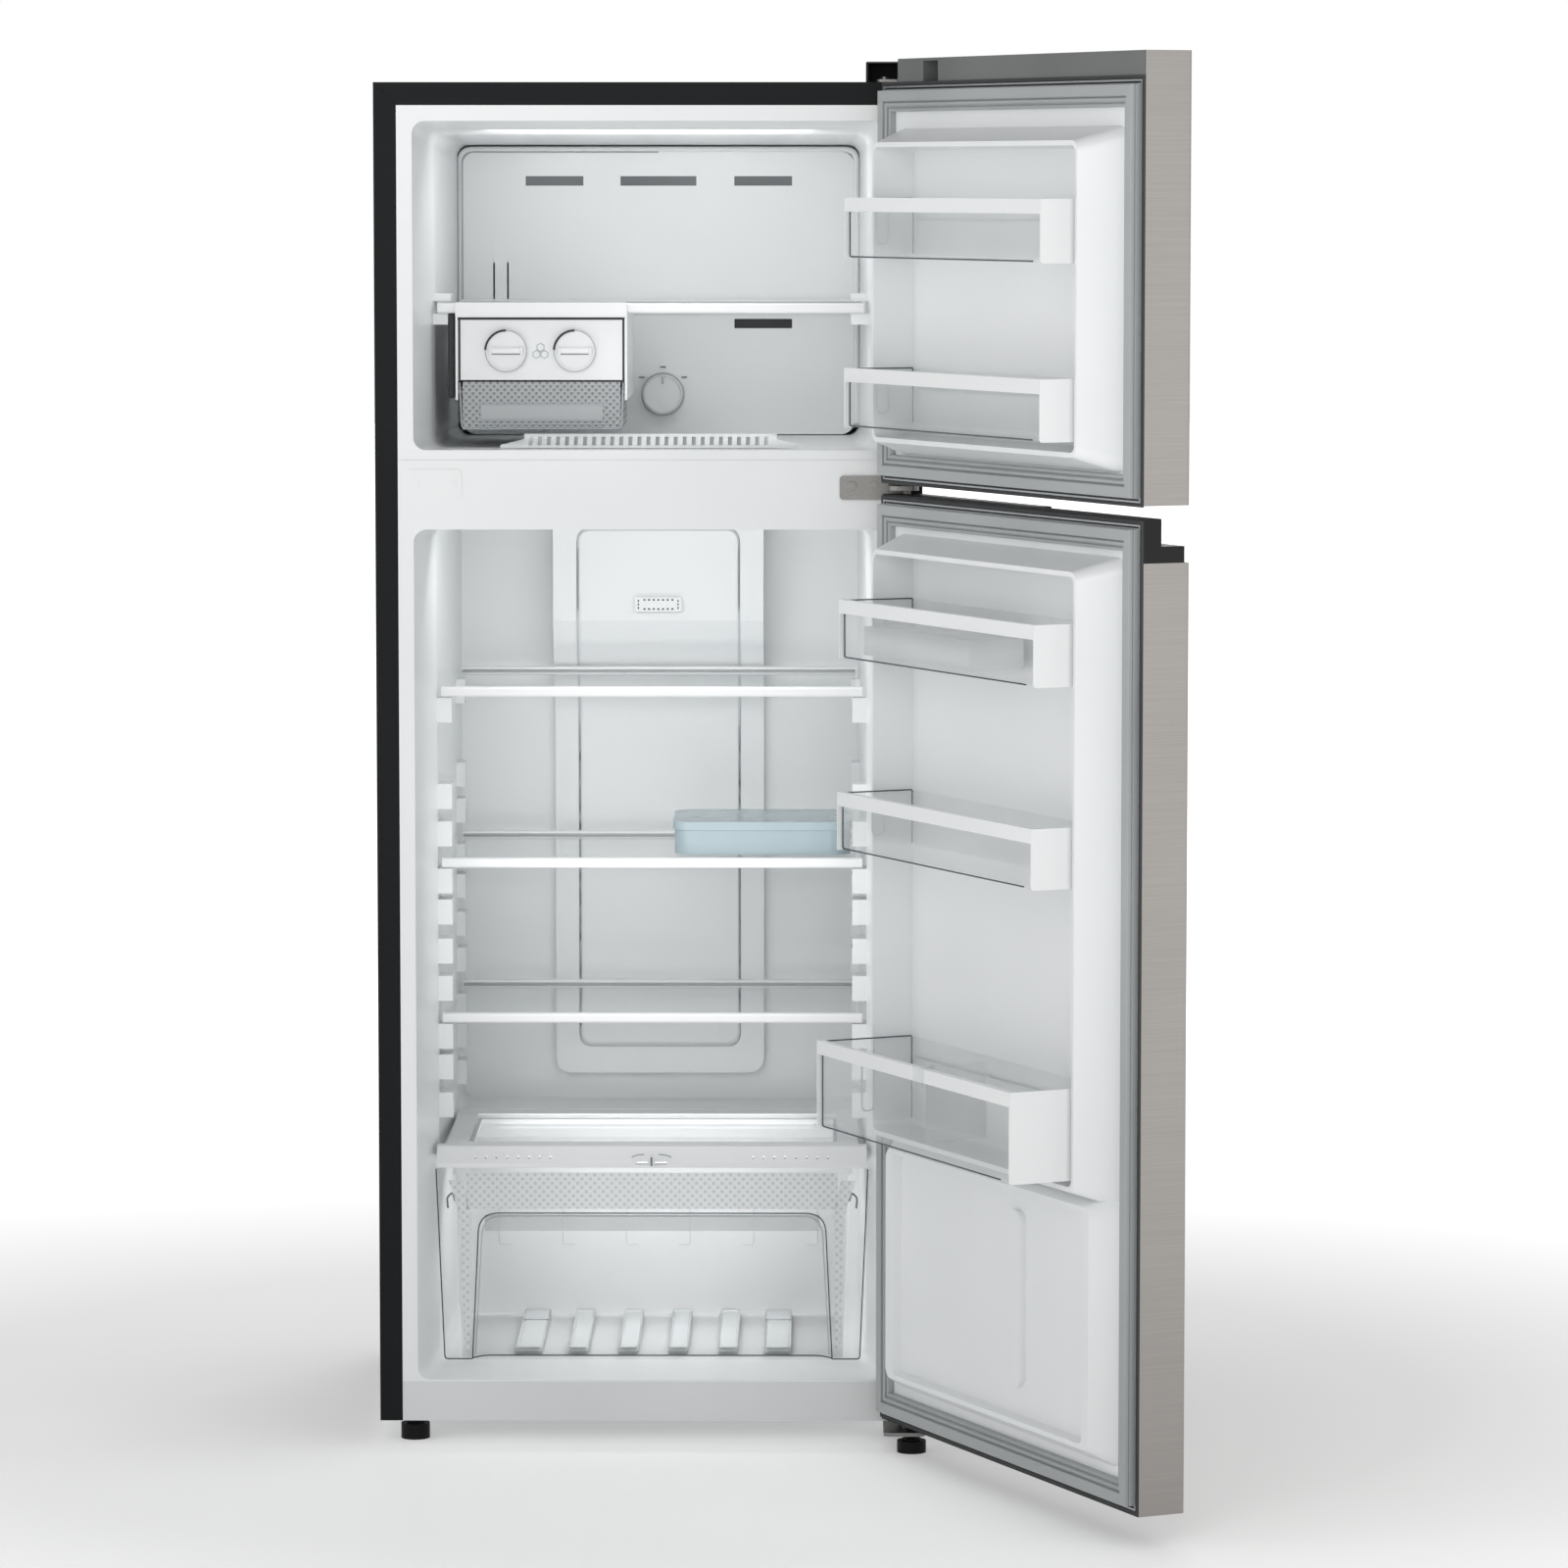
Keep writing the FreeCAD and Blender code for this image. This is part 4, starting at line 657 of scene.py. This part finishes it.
def make_drawer_details():
    """Dark lines of painted shade along the clear drawer front's edges and arch, its dimpled pattern, a grey
    plate of painted shade in the grip recess, and its clips.
    """
    low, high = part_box("crisper_drawer")
    front = low[1]
    bottom, top = low[2], high[2]
    narrow, wide = high[0] - 9.0 * MM, high[0]
    arch_low, arch_high = wide - 40.0 * MM, wide - 48.0 * MM
    arch_top = top - 51.0 * MM
    arch_bend = 22.0 * MM
    face, inside = front - 0.2 * MM, front + 5.0 * MM
    foot = bottom + 1.0 * MM
    sill_low, sill_high, sill_run = bottom + 2.0 * MM, bottom + 5.0 * MM, arch_low - 14.0 * MM
    # Dark lines of painted shade along the front's edges, its arch and its sill.
    rims = []
    for side in (-1.0, 1.0):
        rims.append(rounded([
            (side * wide, face, top - 1.0 * MM), (side * narrow, face, foot), (side * arch_low, face, foot),
        ], 4.0 * MM))
    rims.append(rounded([
        (-arch_low, face, foot), (-arch_high, face, arch_top), (arch_high, face, arch_top),
        (arch_low, face, foot),
    ], arch_bend, steps=10))
    rims.append(rounded([
        (-arch_low, face, sill_low), (-sill_run, face, sill_high),
        (sill_run, face, sill_high), (arch_low, face, sill_low),
    ], 8.0 * MM))
    tubes("drawer_rim_shade_lines", rims, 0.75 * MM, "crisper_drawer", EDGE)
    # A grey line of painted shade along the inside of the arch.
    inner_low, inner_high, inner_top = arch_low - 3.0 * MM, arch_high - 4.0 * MM, arch_top - 4.0 * MM
    inner_rim = rounded([
        (-inner_low, inside, sill_high), (-inner_high, inside, inner_top),
        (inner_high, inside, inner_top), (inner_low, inside, sill_high),
    ], arch_bend, steps=10)
    tubes("drawer_inner_rim_shade", [inner_rim], 0.8 * MM, "crisper_drawer", EDGE_SOFT)
    band_half, band_low, band_high = wide - 34.0 * MM, top - 46.0 * MM, top - 5.0 * MM
    pattern = [[
        (-band_half, band_low), (band_half, band_low), (band_half, band_high), (-band_half, band_high),
    ]]
    for side in (-1.0, 1.0):
        pattern.append([
            (side * (arch_low + 3.0 * MM), bottom + 12.0 * MM),
            (side * (arch_low + 9.0 * MM), bottom + 12.0 * MM),
            (side * (wide - 26.0 * MM), top - 52.0 * MM), (side * (wide - 14.0 * MM), top - 14.0 * MM),
            (side * (wide - 30.0 * MM), top - 14.0 * MM), (side * (arch_high + 9.0 * MM), top - 52.0 * MM),
        ])
    dimples = diamond_dots("drawer_dimples", (0.93, 0.95, 0.955), 0.45, 0.0095, 0.76)
    plates(
        "drawer_pattern", pattern, front - 0.5 * MM, front - 0.1 * MM,
        "crisper_drawer", dimples,
    )
    # A faint grey plate behind the arch top paints the shade in the grip recess.
    grip_half, grip_low, grip_high = arch_high - 6.0 * MM, arch_top - 21.0 * MM, arch_top - 3.0 * MM
    grip = [(-grip_half, grip_low), (grip_half, grip_low), (grip_half, grip_high), (-grip_half, grip_high)]
    plates(
        "drawer_grip_shade", [grip], front + 6.0 * MM, front + 8.0 * MM,
        "crisper_drawer", GRIP_SHADE,
    )
    clips = []
    hook = ((3.0, 46.0), (4.0, 34.0), (-2.0, 28.0), (-5.0, 38.0))
    for side in (-1.0, 1.0):
        x = side * (wide - 16.0 * MM)
        clips.append(rounded([
            (x + side * out * MM, front + 4.0 * MM, top - down * MM) for out, down in hook
        ], 3.0 * MM))
    tubes("drawer_clips", clips, 1.1 * MM, "crisper_drawer", EDGE)


def make_drawer_inside():
    """The long bumps moulded in the drawer's floor, with lines of painted shade along them, and the ribs on
    its back wall drawn as lines of painted shade.
    """
    low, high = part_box("crisper_drawer")
    back, bottom = high[1] - 6.0 * MM, low[2]
    near, far = low[1] + 34.0 * MM, back - 1.0 * MM
    count, pitch, rib_pitch = 6, 56.0 * MM, 74.0 * MM
    middle = (count - 1) / 2
    crest = bottom + 5.0 * MM
    bumps, tops, lines = [], [], []
    for number in range(count):
        x = (number - middle) * pitch
        outer = number in (0, count - 1)
        half = (15.0 if outer else 11.0) * MM
        bumps.append(((x - half, near, bottom + 3.0 * MM), (x + half, back, crest + 0.2 * MM)))
        lines.append(rounded([
            (x - half, far, crest), (x - half, near, crest), (x + half, near, crest), (x + half, far, crest),
        ], 12.0 * MM))
        if outer:
            cap_low = (x - half, back - 60.0 * MM, bottom + 4.5 * MM)
            tops.append((cap_low, (x + half, back - 8.0 * MM, bottom + 7.5 * MM)))
    slabs("drawer_floor_bumps", bumps, 5.0 * MM, "crisper_drawer", RIB_PALE)
    slabs("drawer_bump_caps", tops, 3.0 * MM, "crisper_drawer", CAP_PALE)
    # Grey lines of painted shade along the bumps' edges.
    tubes("drawer_bump_lines", lines, 0.6 * MM, "crisper_drawer", EDGE_SOFT)
    # The back wall's ribs are drawn only as grey lines of painted shade.
    ribs = []
    wall, rib_low, rib_high = back - 2.0 * MM, bottom + 84.0 * MM, high[2] - 50.0 * MM
    for number in range(count):
        x = (number - middle) * rib_pitch
        toe = math.copysign(14.0 * MM, middle - number)
        ribs.append(rounded([(x, wall, rib_high), (x, wall, rib_low), (x + toe, wall, rib_low)], 4.0 * MM))
    tubes("drawer_back_rib_shade", ribs, 0.6 * MM, "crisper_drawer", EDGE_SOFT)


# -------------------------------------------------------------- fridge inside


def make_crisper_trim():
    """The humidity arcs on the trim over the drawer and the slider's grip line."""
    low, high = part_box("crisper_cover_frame")
    slider_low, slider_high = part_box("humidity_slider")
    z = (low[2] + high[2]) / 2 + 1.5 * MM
    face = low[1] + 0.3 * MM
    arcs = []
    for side in (-1.0, 1.0):
        arcs.append([
            (side * 8.0 * MM, face, z + 2.5 * MM), (side * 14.0 * MM, face, z + 2.2 * MM),
            (side * 19.0 * MM, face, z + 1.0 * MM), (side * 22.0 * MM, face, z - 0.8 * MM),
        ])
    tubes("humidity_marks", arcs, 0.5 * MM, "cabinet", INK_AND_SHADE)
    middle = (slider_low[0] + slider_high[0]) / 2
    grip = [((middle - 1.2 * MM, slider_low[1] - 0.6 * MM, slider_low[2] + 2.0 * MM),
             (middle + 1.2 * MM, slider_low[1] + 0.6 * MM, slider_high[2] - 2.0 * MM))]
    slabs("humidity_slider_grip", grip, 0.4 * MM, "humidity_slider", INK_AND_SHADE)


def surface_depth(node, x, z, start):
    """How deep a straight look from the front meets the node's surface."""
    found = frame["nodes"][node].ray_cast(Vector((x, start, z)), Vector((0.0, 1.0, 0.0)))
    return found[1].y if found[0] else None


def make_duct_groove():
    """A slightly darker ribbon of painted shade laid on the air duct cover's recessed band, following its
    sweep.
    """
    low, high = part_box("air_duct_cover")
    half, bottom, top = 91.0 * MM, low[2] + 35.0 * MM, high[2] - 16.0 * MM
    tall = [bottom + (top - bottom) * step / 60 for step in range(1, 60)]
    bend = 14.0 * MM
    path = rounded([
        (-half, 0.0, top), (-half, 0.0, bottom), (half, 0.0, bottom), (half, 0.0, top),
    ], bend, True)
    loop = []
    for i, point in enumerate(path):
        loop.append(point)
        after = path[(i + 1) % len(path)]
        if abs(after.z - point.z) > 0.1:
            steps = tall if after.z > point.z else list(reversed(tall))
            span = sorted((point.z, after.z))
            loop += [Vector((point.x, 0.0, z)) for z in steps if span[0] + 0.002 < z < span[1] - 0.002]
    bm = bmesh.new()
    rails = []
    for shift in (-3.6 * MM, -1.2 * MM, 1.2 * MM, 3.6 * MM):
        rail = []
        for point in loop:
            x = point.x + math.copysign(shift, point.x) * min(1.0, abs(point.x) / half)
            middle = (bottom + top) / 2
            near_end = max(0.0, (abs(point.z - middle) - (top - bottom) / 2 + bend) / bend)
            z = point.z + math.copysign(shift * min(1.0, near_end), point.z - middle)
            depth = surface_depth("air_duct_cover", x, z, low[1] - 0.02)
            lift = (0.5 if abs(shift) > 2.0 * MM else 0.9) * MM
            rail.append(bm.verts.new((x, (high[1] - 16.0 * MM if depth is None else depth) - lift, z)))
        rails.append(rail)
    for near, far in zip(rails, rails[1:]):
        for i in range(len(near)):
            k = (i + 1) % len(near)
            bm.faces.new((near[i], near[k], far[k], far[i]))
    bmesh.ops.recalc_face_normals(bm, faces=bm.faces)
    mesh = mesh_from(bm, "duct_groove_shade")
    # The ribbon's darker colour is painted shade in the recessed band.
    groove = finish_piece("duct_groove_shade", mesh, "cabinet", GROOVE_SHADE)
    thick = groove.modifiers.new("wall", "SOLIDIFY")
    thick.thickness = 0.8 * MM
    thick.offset = 0.0


def make_sensor_window():
    """The slotted grille in front of the air sensor, its slots drawn as dark blocks of painted shade."""
    low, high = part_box("sensor_cover")
    face = low[1] - 0.1 * MM
    slots = []
    for number in range(7):
        x = low[0] + 11.0 * MM + number * 5.4 * MM
        for z in (low[2] + 3.2 * MM, high[2] - 3.2 * MM):
            slots.append(((x - 1.3 * MM, face, z - 1.0 * MM), (x + 1.3 * MM, face + 0.8 * MM, z + 1.0 * MM)))
    for x in (low[0] + 4.0 * MM, high[0] - 4.0 * MM):
        for number in range(3):
            z = low[2] + 4.4 * MM + number * 4.1 * MM
            slots.append(((x - 0.8 * MM, face, z - 1.3 * MM), (x + 0.8 * MM, face + 0.8 * MM, z + 1.3 * MM)))
    # Dark blocks paint the shade inside each slot.
    slabs("sensor_slot_shade", slots, 0.3 * MM, "cabinet", SHADE_AND_MARK_DARK)


def make_storage_box_lid():
    """The rolled rim and the lip of the lid on the small blue box."""
    low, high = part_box("storage_box")
    corner = 30.0 * MM
    for label, inset, z in (("lid_rim", 1.5, high[2] - 9.0 * MM), ("lid_lip", 3.0, high[2] - 0.8 * MM)):
        step = inset * MM
        outline = rounded([
            (low[0] + step, low[1] + step, z), (high[0] - step, low[1] + step, z),
            (high[0] - step, high[1] - step, z), (low[0] + step, high[1] - step, z),
        ], corner, closed=True, steps=10)
        tubes(
            f"storage_box_{label}", [outline], 0.9 * MM,
            "storage_box", MATERIALS["clear_blue"], closed=True,
        )


# ------------------------------------------------------------- freezer inside


def make_ice_knob_details(side):
    """The raised bar with a line of painted shadow under it, a grey line of painted shade round the rim, and
    the dark turn arc of one ice tray's knob.
    """
    tray = f"ice_tray_{side}"
    low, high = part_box(f"ice_knob_{side}")
    centre = (low + high) / 2
    radius = (high[0] - low[0]) / 2
    front, reach = low[1], radius * 0.68
    left, right = centre[0] - reach, centre[0] + reach
    half_bar, shade_z = 2.6 * MM, centre[2] - 3.2 * MM
    bar = [((left, front - 2.5 * MM, centre[2] - half_bar), (right, front + 1.0 * MM, centre[2] + half_bar))]
    slabs(f"ice_knob_bar_{side}", bar, 1.1 * MM, tray, MATERIALS["trim_white"])
    # A line of painted shadow just under the raised bar.
    shade = [(x, front - 0.2 * MM, shade_z) for x in (left, right)]
    tubes(f"ice_knob_shade_{side}", [shade], 0.55 * MM, tray, INK_AND_SHADE)
    # A grey line of painted shade round the knob's edge.
    rim = circle((centre[0], front - 0.1 * MM, centre[2]), radius * 0.99, 0.0, 359.0, 48)
    tubes(f"ice_knob_rim_{side}", [rim], 0.5 * MM, tray, EDGE_SOFT)
    arc = circle((centre[0], front + 0.3 * MM, centre[2]), radius, 90.0, 176.0, 24)
    tubes(f"ice_turn_mark_{side}", [arc], 1.3 * MM, tray, SHADE_AND_MARK_DARK)


def make_ice_panel_details():
    """The ice symbol between the knobs and a dark line of painted shade in the gap round their panel."""
    low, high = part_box("ice_maker_frame")
    knob_low, knob_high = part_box("ice_knob_left")
    x = (knob_high[0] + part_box("ice_knob_right")[0][0]) / 2
    z = (knob_low[2] + knob_high[2]) / 2
    panel_y = surface_depth("ice_maker_frame", x, knob_low[2] - 3.0 * MM, low[1] - 0.02)
    cube = 4.4 * MM
    symbol = []
    for across, up in ((-4.4, -3.6), (4.4, -3.6), (0.0, 4.2)):
        place = (x + across * MM, panel_y - 0.2 * MM, z + up * MM)
        symbol.append(circle(place, cube, 30.0, 390.0, 6))
    tubes("ice_symbol", symbol, 0.5 * MM, "cabinet", EDGE_SOFT)
    # A dark line of painted shade in the gap round the knobs' panel.
    gap_y, wall = panel_y - 0.3 * MM, 4.2 * MM
    bottom, top = knob_low[2] - 10.0 * MM, knob_high[2] + 13.0 * MM
    outline = [
        (low[0] + wall, gap_y, bottom), (low[0] + wall, gap_y, top),
        (high[0] - wall, gap_y, top), (high[0] - wall, gap_y, bottom),
    ]
    tubes("ice_panel_gap_shade", [rounded(outline, 2.0 * MM)], 1.1 * MM, "cabinet", SHADE_AND_MARK_DARK)


def make_ice_bucket_details():
    """Grey lines of painted shade along the rim and the stepped foot, and the plain window of the ice
    bucket's front.
    """
    low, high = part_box("ice_bucket")
    face, lip = low[1] - 0.4 * MM, 1.0 * MM
    draft = 3.0 * MM
    # Grey lines of painted shade along the front's rim and, below, the steps of its foot.
    rim = rounded([
        (low[0] + lip, face, high[2] - lip), (low[0] + draft, face, low[2] + lip),
        (high[0] - draft, face, low[2] + lip), (high[0] - lip, face, high[2] - lip),
    ], 5.0 * MM)
    tubes("ice_bucket_rim", [rim], 0.8 * MM, "ice_bucket", EDGE_SOFT)
    left, right, foot = low[0] + 24.0 * MM, high[0] - 24.0 * MM, low[2] + 6.0 * MM
    window = [((left, face - 0.2 * MM, foot + 5.0 * MM), (right, face + 0.2 * MM, foot + 22.0 * MM))]
    slabs("ice_bucket_window", window, 0.15 * MM, "ice_bucket", BUCKET_PALE)
    step_left, step_right = left - 4.0 * MM, right + 4.0 * MM
    steps = []
    for rise in (0.0, 4.0, 22.0):
        steps.append([(x, face - 0.3 * MM, foot + rise * MM) for x in (step_left, step_right)])
    tubes("ice_bucket_step_shade", steps, 0.8 * MM, "ice_bucket", EDGE_SOFT)


def make_evaporator_cover_details():
    """The seal, and a dark line of painted shade in the seam round the rear cover of the freezer."""
    low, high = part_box("evaporator_cover")
    face, corner = low[1], 13.0 * MM
    grow, seal_y = 2.2 * MM, low[1] + 5.0 * MM
    left, right, top = low[0] - grow, high[0] + grow, high[2] + grow
    seal = rounded([
        (left, seal_y, low[2] + corner), (left, seal_y, top), (right, seal_y, top),
        (right, seal_y, low[2] + corner),
    ], corner)
    tubes("cover_seal", [seal], 4.2 * MM, "cabinet", MATERIALS["liner_white"])
    # A grey line of painted shade in the seam at the cover's left and top.
    gap, seam_y = 0.4 * MM, face + 0.3 * MM
    seam = rounded([
        (low[0] - gap, seam_y, low[2] + corner), (low[0] - gap, seam_y, high[2] - gap),
        (0.0, seam_y, high[2] - gap),
    ], corner)
    tubes("cover_seam_shade", [seam], 0.8 * MM, "cabinet", EDGE_SOFT)


def make_vent_shade_plates():
    """Dark plates of painted shade just inside the cover's four vents."""
    low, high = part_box("evaporator_cover")
    near, far = low[1] + 4.0 * MM, low[1] + 5.0 * MM
    half_height = 9.0 * MM
    upper, lower = high[2] - 33.5 * MM, high[2] - 198.5 * MM

    def shade_plate(x, half_width, z):
        reach_x, reach_z = half_width * MM, half_height
        return (x * MM - reach_x, near, z - reach_z), (x * MM + reach_x, far, z + reach_z)

    shades = [shade_plate(x, half, upper) for x, half in ((-120.5, 40.0), (0.0, 50.0), (121.5, 40.0))]
    # Grey plates paint the shade behind the upper vents, a darker plate behind the lower vent.
    slabs("vent_shade_plates", shades, 0.3 * MM, "cabinet", VENT_SHADE)
    slabs("vent_shade_plate_low", [shade_plate(121.5, 40.5, lower)], 0.3 * MM, "cabinet", SHADE_AND_MARK_DARK)


def make_ice_maker_side_shade():
    """A dark strip of painted shade in the gap between the ice maker and the lining's side wall."""
    low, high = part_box("ice_maker_frame")
    strip = [((low[0] - 9.0 * MM, low[1] + 14.0 * MM, low[2] + 2.0 * MM),
              (low[0] - 1.5 * MM, low[1] + 60.0 * MM, high[2] - 12.0 * MM))]
    slabs("ice_maker_side_seal", strip, 2.5 * MM, "cabinet", SHADE_AND_MARK_DARK)


def make_temperature_marks():
    """The three setting marks, a ring of painted shadow round the dial's foot, and the pointer of the freezer
    dial.
    """
    low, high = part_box("temperature_knob")
    centre = (low + high) / 2
    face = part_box("evaporator_cover")[0][1] - 0.1 * MM
    radius = (high[0] - low[0]) / 2
    marks = []
    for angle in (142.0, 90.0, 38.0):
        spot = circle((centre[0], face, centre[2]), radius * 1.36, angle, angle, 1)[0]
        reach = Vector((3.2 * MM, 0.0, 0.0))
        marks.append([spot - reach, spot + reach])
    # A ring of painted shadow round the dial's foot.
    shadow_ring = circle((centre[0], face - 0.4 * MM, centre[2]), radius * 1.07, 0.0, 359.0, 48)
    tubes("temperature_shadow_ring", [shadow_ring], 1.0 * MM, "cabinet", GROOVE_SHADE)
    tubes("temperature_marks", marks, 0.8 * MM, "cabinet", INK_AND_SHADE)
    # A ring of painted shade on the dial's face, inside its edge.
    rim = circle((centre[0], low[1] - 0.1 * MM, centre[2]), radius * 0.93, 0.0, 359.0, 48)
    tubes("temperature_knob_rim", [rim], 0.5 * MM, "temperature_knob", GROOVE_SHADE)
    pointer = [((centre[0] - 1.2 * MM, low[1] - 0.8 * MM, high[2] - 11.0 * MM),
                (centre[0] + 1.2 * MM, low[1] + 0.6 * MM, high[2] - 3.0 * MM))]
    slabs("temperature_pointer", pointer, 0.5 * MM, "temperature_knob", EDGE_SOFT)


make_drawer_details()
make_drawer_inside()
make_crisper_trim()
make_evaporator_cover_details()
make_vent_shade_plates()
make_ice_maker_side_shade()
make_duct_groove()
make_sensor_window()
make_storage_box_lid()
for tray_side in ("left", "right"):
    make_ice_knob_details(tray_side)
make_ice_panel_details()
make_ice_bucket_details()
make_temperature_marks()


# --------------------------------------------------------------- machine space


def make_rear_panel_beads():
    """Three rounded beads pressed in the zinc back, one over the other."""
    low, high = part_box("rear_panel")
    zinc, count = MATERIALS["zinc_sheet"], 3
    middle, edge, margin = high[1] - 0.9 * MM, 42.0 * MM, 30.0 * MM
    left, right = low[0] + edge, high[0] - edge
    rise = (high[2] - low[2]) / count
    outlines = []
    for number in range(count):
        bottom = low[2] + number * rise + margin
        top = bottom + rise - 2 * margin
        outlines.append(rounded([
            (left, middle, bottom), (right, middle, bottom), (right, middle, top), (left, middle, top),
        ], 40.0 * MM, closed=True, steps=8))
    tubes("rear_panel_beads", outlines, 2.2 * MM, "cabinet", zinc, closed=True)


def make_rear_panel_screws():
    """Recessed-head screws along the foot and the sides of the zinc back."""
    low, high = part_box("rear_panel")
    head_shape = ((4.0, -0.4), (4.2, 0.6), (3.2, 1.5), (1.5, 1.8), (1.3, 0.9), (0.2, 0.8))
    head = [(radius * MM, height * MM) for radius, height in head_shape]
    places = [(x * MM, low[2] + 9.0 * MM) for x in (-280.0, -140.0, 0.0, 140.0, 280.0)]
    for x in (-285.0, 285.0):
        places += [(x * MM, low[2] + share * (high[2] - low[2])) for share in (0.35, 0.67, 0.985)]
    screws = [((x, high[1], z), head) for x, z in places]
    lathe("rear_panel_screws", screws, "Y", "cabinet", MATERIALS["zinc_steel"])


def compressor_centre():
    """The axis of the round can: its terminal cover makes the box wider on one side."""
    low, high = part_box("compressor")
    return high[0] - 80.0 * MM, (low[1] + high[1]) / 2


def make_refrigerant_lines():
    """Copper lines from the compressor to the coil, the drier and the evaporator."""
    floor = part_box("compressor")[0][2]
    coil_low, coil_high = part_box("condenser")
    can_x, can_y = compressor_centre()
    coil_y, coil_end = (coil_low[1] + coil_high[1]) / 2, coil_low[0] + 10.0 * MM
    gap = coil_high[0] + 14.0 * MM
    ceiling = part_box("rear_panel")[0][2] - 6.0 * MM
    port_x = can_x - 50.0 * MM
    push_y, push_z, over = can_y - 22.0 * MM, floor + 104.0 * MM, ceiling - 12.0 * MM
    discharge = rounded([
        (port_x, push_y, push_z), (gap, push_y, push_z), (gap, push_y, over), (coil_end, push_y, over),
        (coil_end, coil_y, over), (coil_end, coil_y, coil_high[2] - 11.0 * MM),
    ], 12.0 * MM)
    pull_x, pull_y, pull_z = gap + 2.0 * MM, can_y + 26.0 * MM, floor + 118.0 * MM
    suction = rounded([
        (port_x, pull_y, pull_z), (pull_x, pull_y, pull_z), (pull_x, pull_y, ceiling),
    ], 16.0 * MM)
    stub_x, stub_y, stub_z = can_x + 64.0 * MM, can_y + 44.0 * MM, floor + 96.0 * MM
    service = rounded([
        (can_x + 48.0 * MM, can_y + 30.0 * MM, stub_z), (stub_x, stub_y, stub_z),
        (stub_x, stub_y, stub_z + 40.0 * MM),
    ], 10.0 * MM)
    drier_y, drier_z = coil_high[1] + 22.0 * MM, coil_low[2] + 22.0 * MM
    drier_low, drier_high = coil_low[0] + 120.0 * MM, coil_low[0] + 230.0 * MM
    exit_x, exit_z = coil_low[0] + 30.0 * MM, coil_low[2] + 44.0 * MM
    liquid = rounded([
        (exit_x, coil_y, exit_z), (exit_x, drier_y, exit_z), (exit_x, drier_y, drier_z),
        (drier_low, drier_y, drier_z),
    ], 10.0 * MM)
    lines = [discharge, suction, service, liquid]
    tubes("refrigerant_lines", lines, 3.0 * MM, "cabinet", COPPER)
    thin_x = gap - 6.0 * MM
    capillary = rounded([
        (drier_high, drier_y, drier_z), (thin_x, drier_y, drier_z), (thin_x, drier_y, ceiling),
    ], 18.0 * MM)
    tubes("capillary_line", [capillary], 1.2 * MM, "cabinet", COPPER)
    make_filter_drier((drier_low, drier_y, drier_z), (drier_high - drier_low) / MM)


def make_filter_drier(foot, length):
    """A copper cartridge whose two ends are spun down to the lines; its length is in mm."""
    shape = (
        (3.2, 0.0), (3.6, 8.0), (8.5, 16.0), (9.0, 20.0),
        (9.0, length - 22.0), (8.4, length - 18.0), (2.6, length - 6.0), (2.2, length),
    )
    outline = [(radius * MM, height * MM) for radius, height in shape]
    lathe("filter_drier", [(foot, outline)], "X", "cabinet", COPPER)


def make_compressor_seam():
    """The weld seam round the can and the strap of its terminal cover."""
    low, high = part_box("compressor")
    can_x, can_y = compressor_centre()
    black = MATERIALS["compressor_black"]
    seam = circle((can_x, can_y, low[2] + 92.0 * MM), 61.8 * MM, 0.0, 359.0, 64, "xy")
    rim = circle((can_x, can_y, low[2] + 88.0 * MM), 61.6 * MM, 0.0, 359.0, 64, "xy")
    tubes("compressor_seam", [seam, rim], 1.6 * MM, "cabinet", black)
    outer, inner, z = low[0] - 1.0 * MM, low[0] + 24.0 * MM, low[2] + 86.0 * MM
    near, far = low[1] + 35.0 * MM, high[1] - 35.0 * MM
    strap = rounded([(inner, far, z), (outer, far, z), (outer, near, z), (inner, near, z)], 5.0 * MM)
    tubes("terminal_strap", [strap], 1.3 * MM, "cabinet", MATERIALS["zinc_steel"])


def make_supply_cable():
    """The inner cable from the inlet to the compressor's terminals, with its clips."""
    low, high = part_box("compressor")
    inlet_low, inlet_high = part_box("power_inlet")
    black = MATERIALS["motor_black"]
    x, y = (inlet_low[0] + inlet_high[0]) / 2, high[1] + 12.0 * MM
    run_z, entry_z, bend_x = high[2] - 16.0 * MM, low[2] + 74.0 * MM, low[0] - 16.0 * MM
    cable = rounded([
        (x, y, inlet_high[2] - 2.0 * MM), (x, y, run_z), (bend_x, y, run_z), (bend_x, y, entry_z),
        (low[0] + 4.0 * MM, high[1] - 40.0 * MM, entry_z),
    ], 22.0 * MM)
    tubes("supply_cable", [cable], 3.2 * MM, "cabinet", black)
    half, reach, can_x = 5.0 * MM, 4.6 * MM, compressor_centre()[0]
    clips = []
    for spot in (can_x - 50.0 * MM, can_x + 40.0 * MM):
        clips.append(((spot - half, y - reach, run_z - reach), (spot + half, y + reach, run_z + reach)))
    slabs("cable_clips", clips, 2.0 * MM, "cabinet", black)


make_rear_panel_beads()
make_rear_panel_screws()
make_refrigerant_lines()
make_compressor_seam()
make_supply_cable()
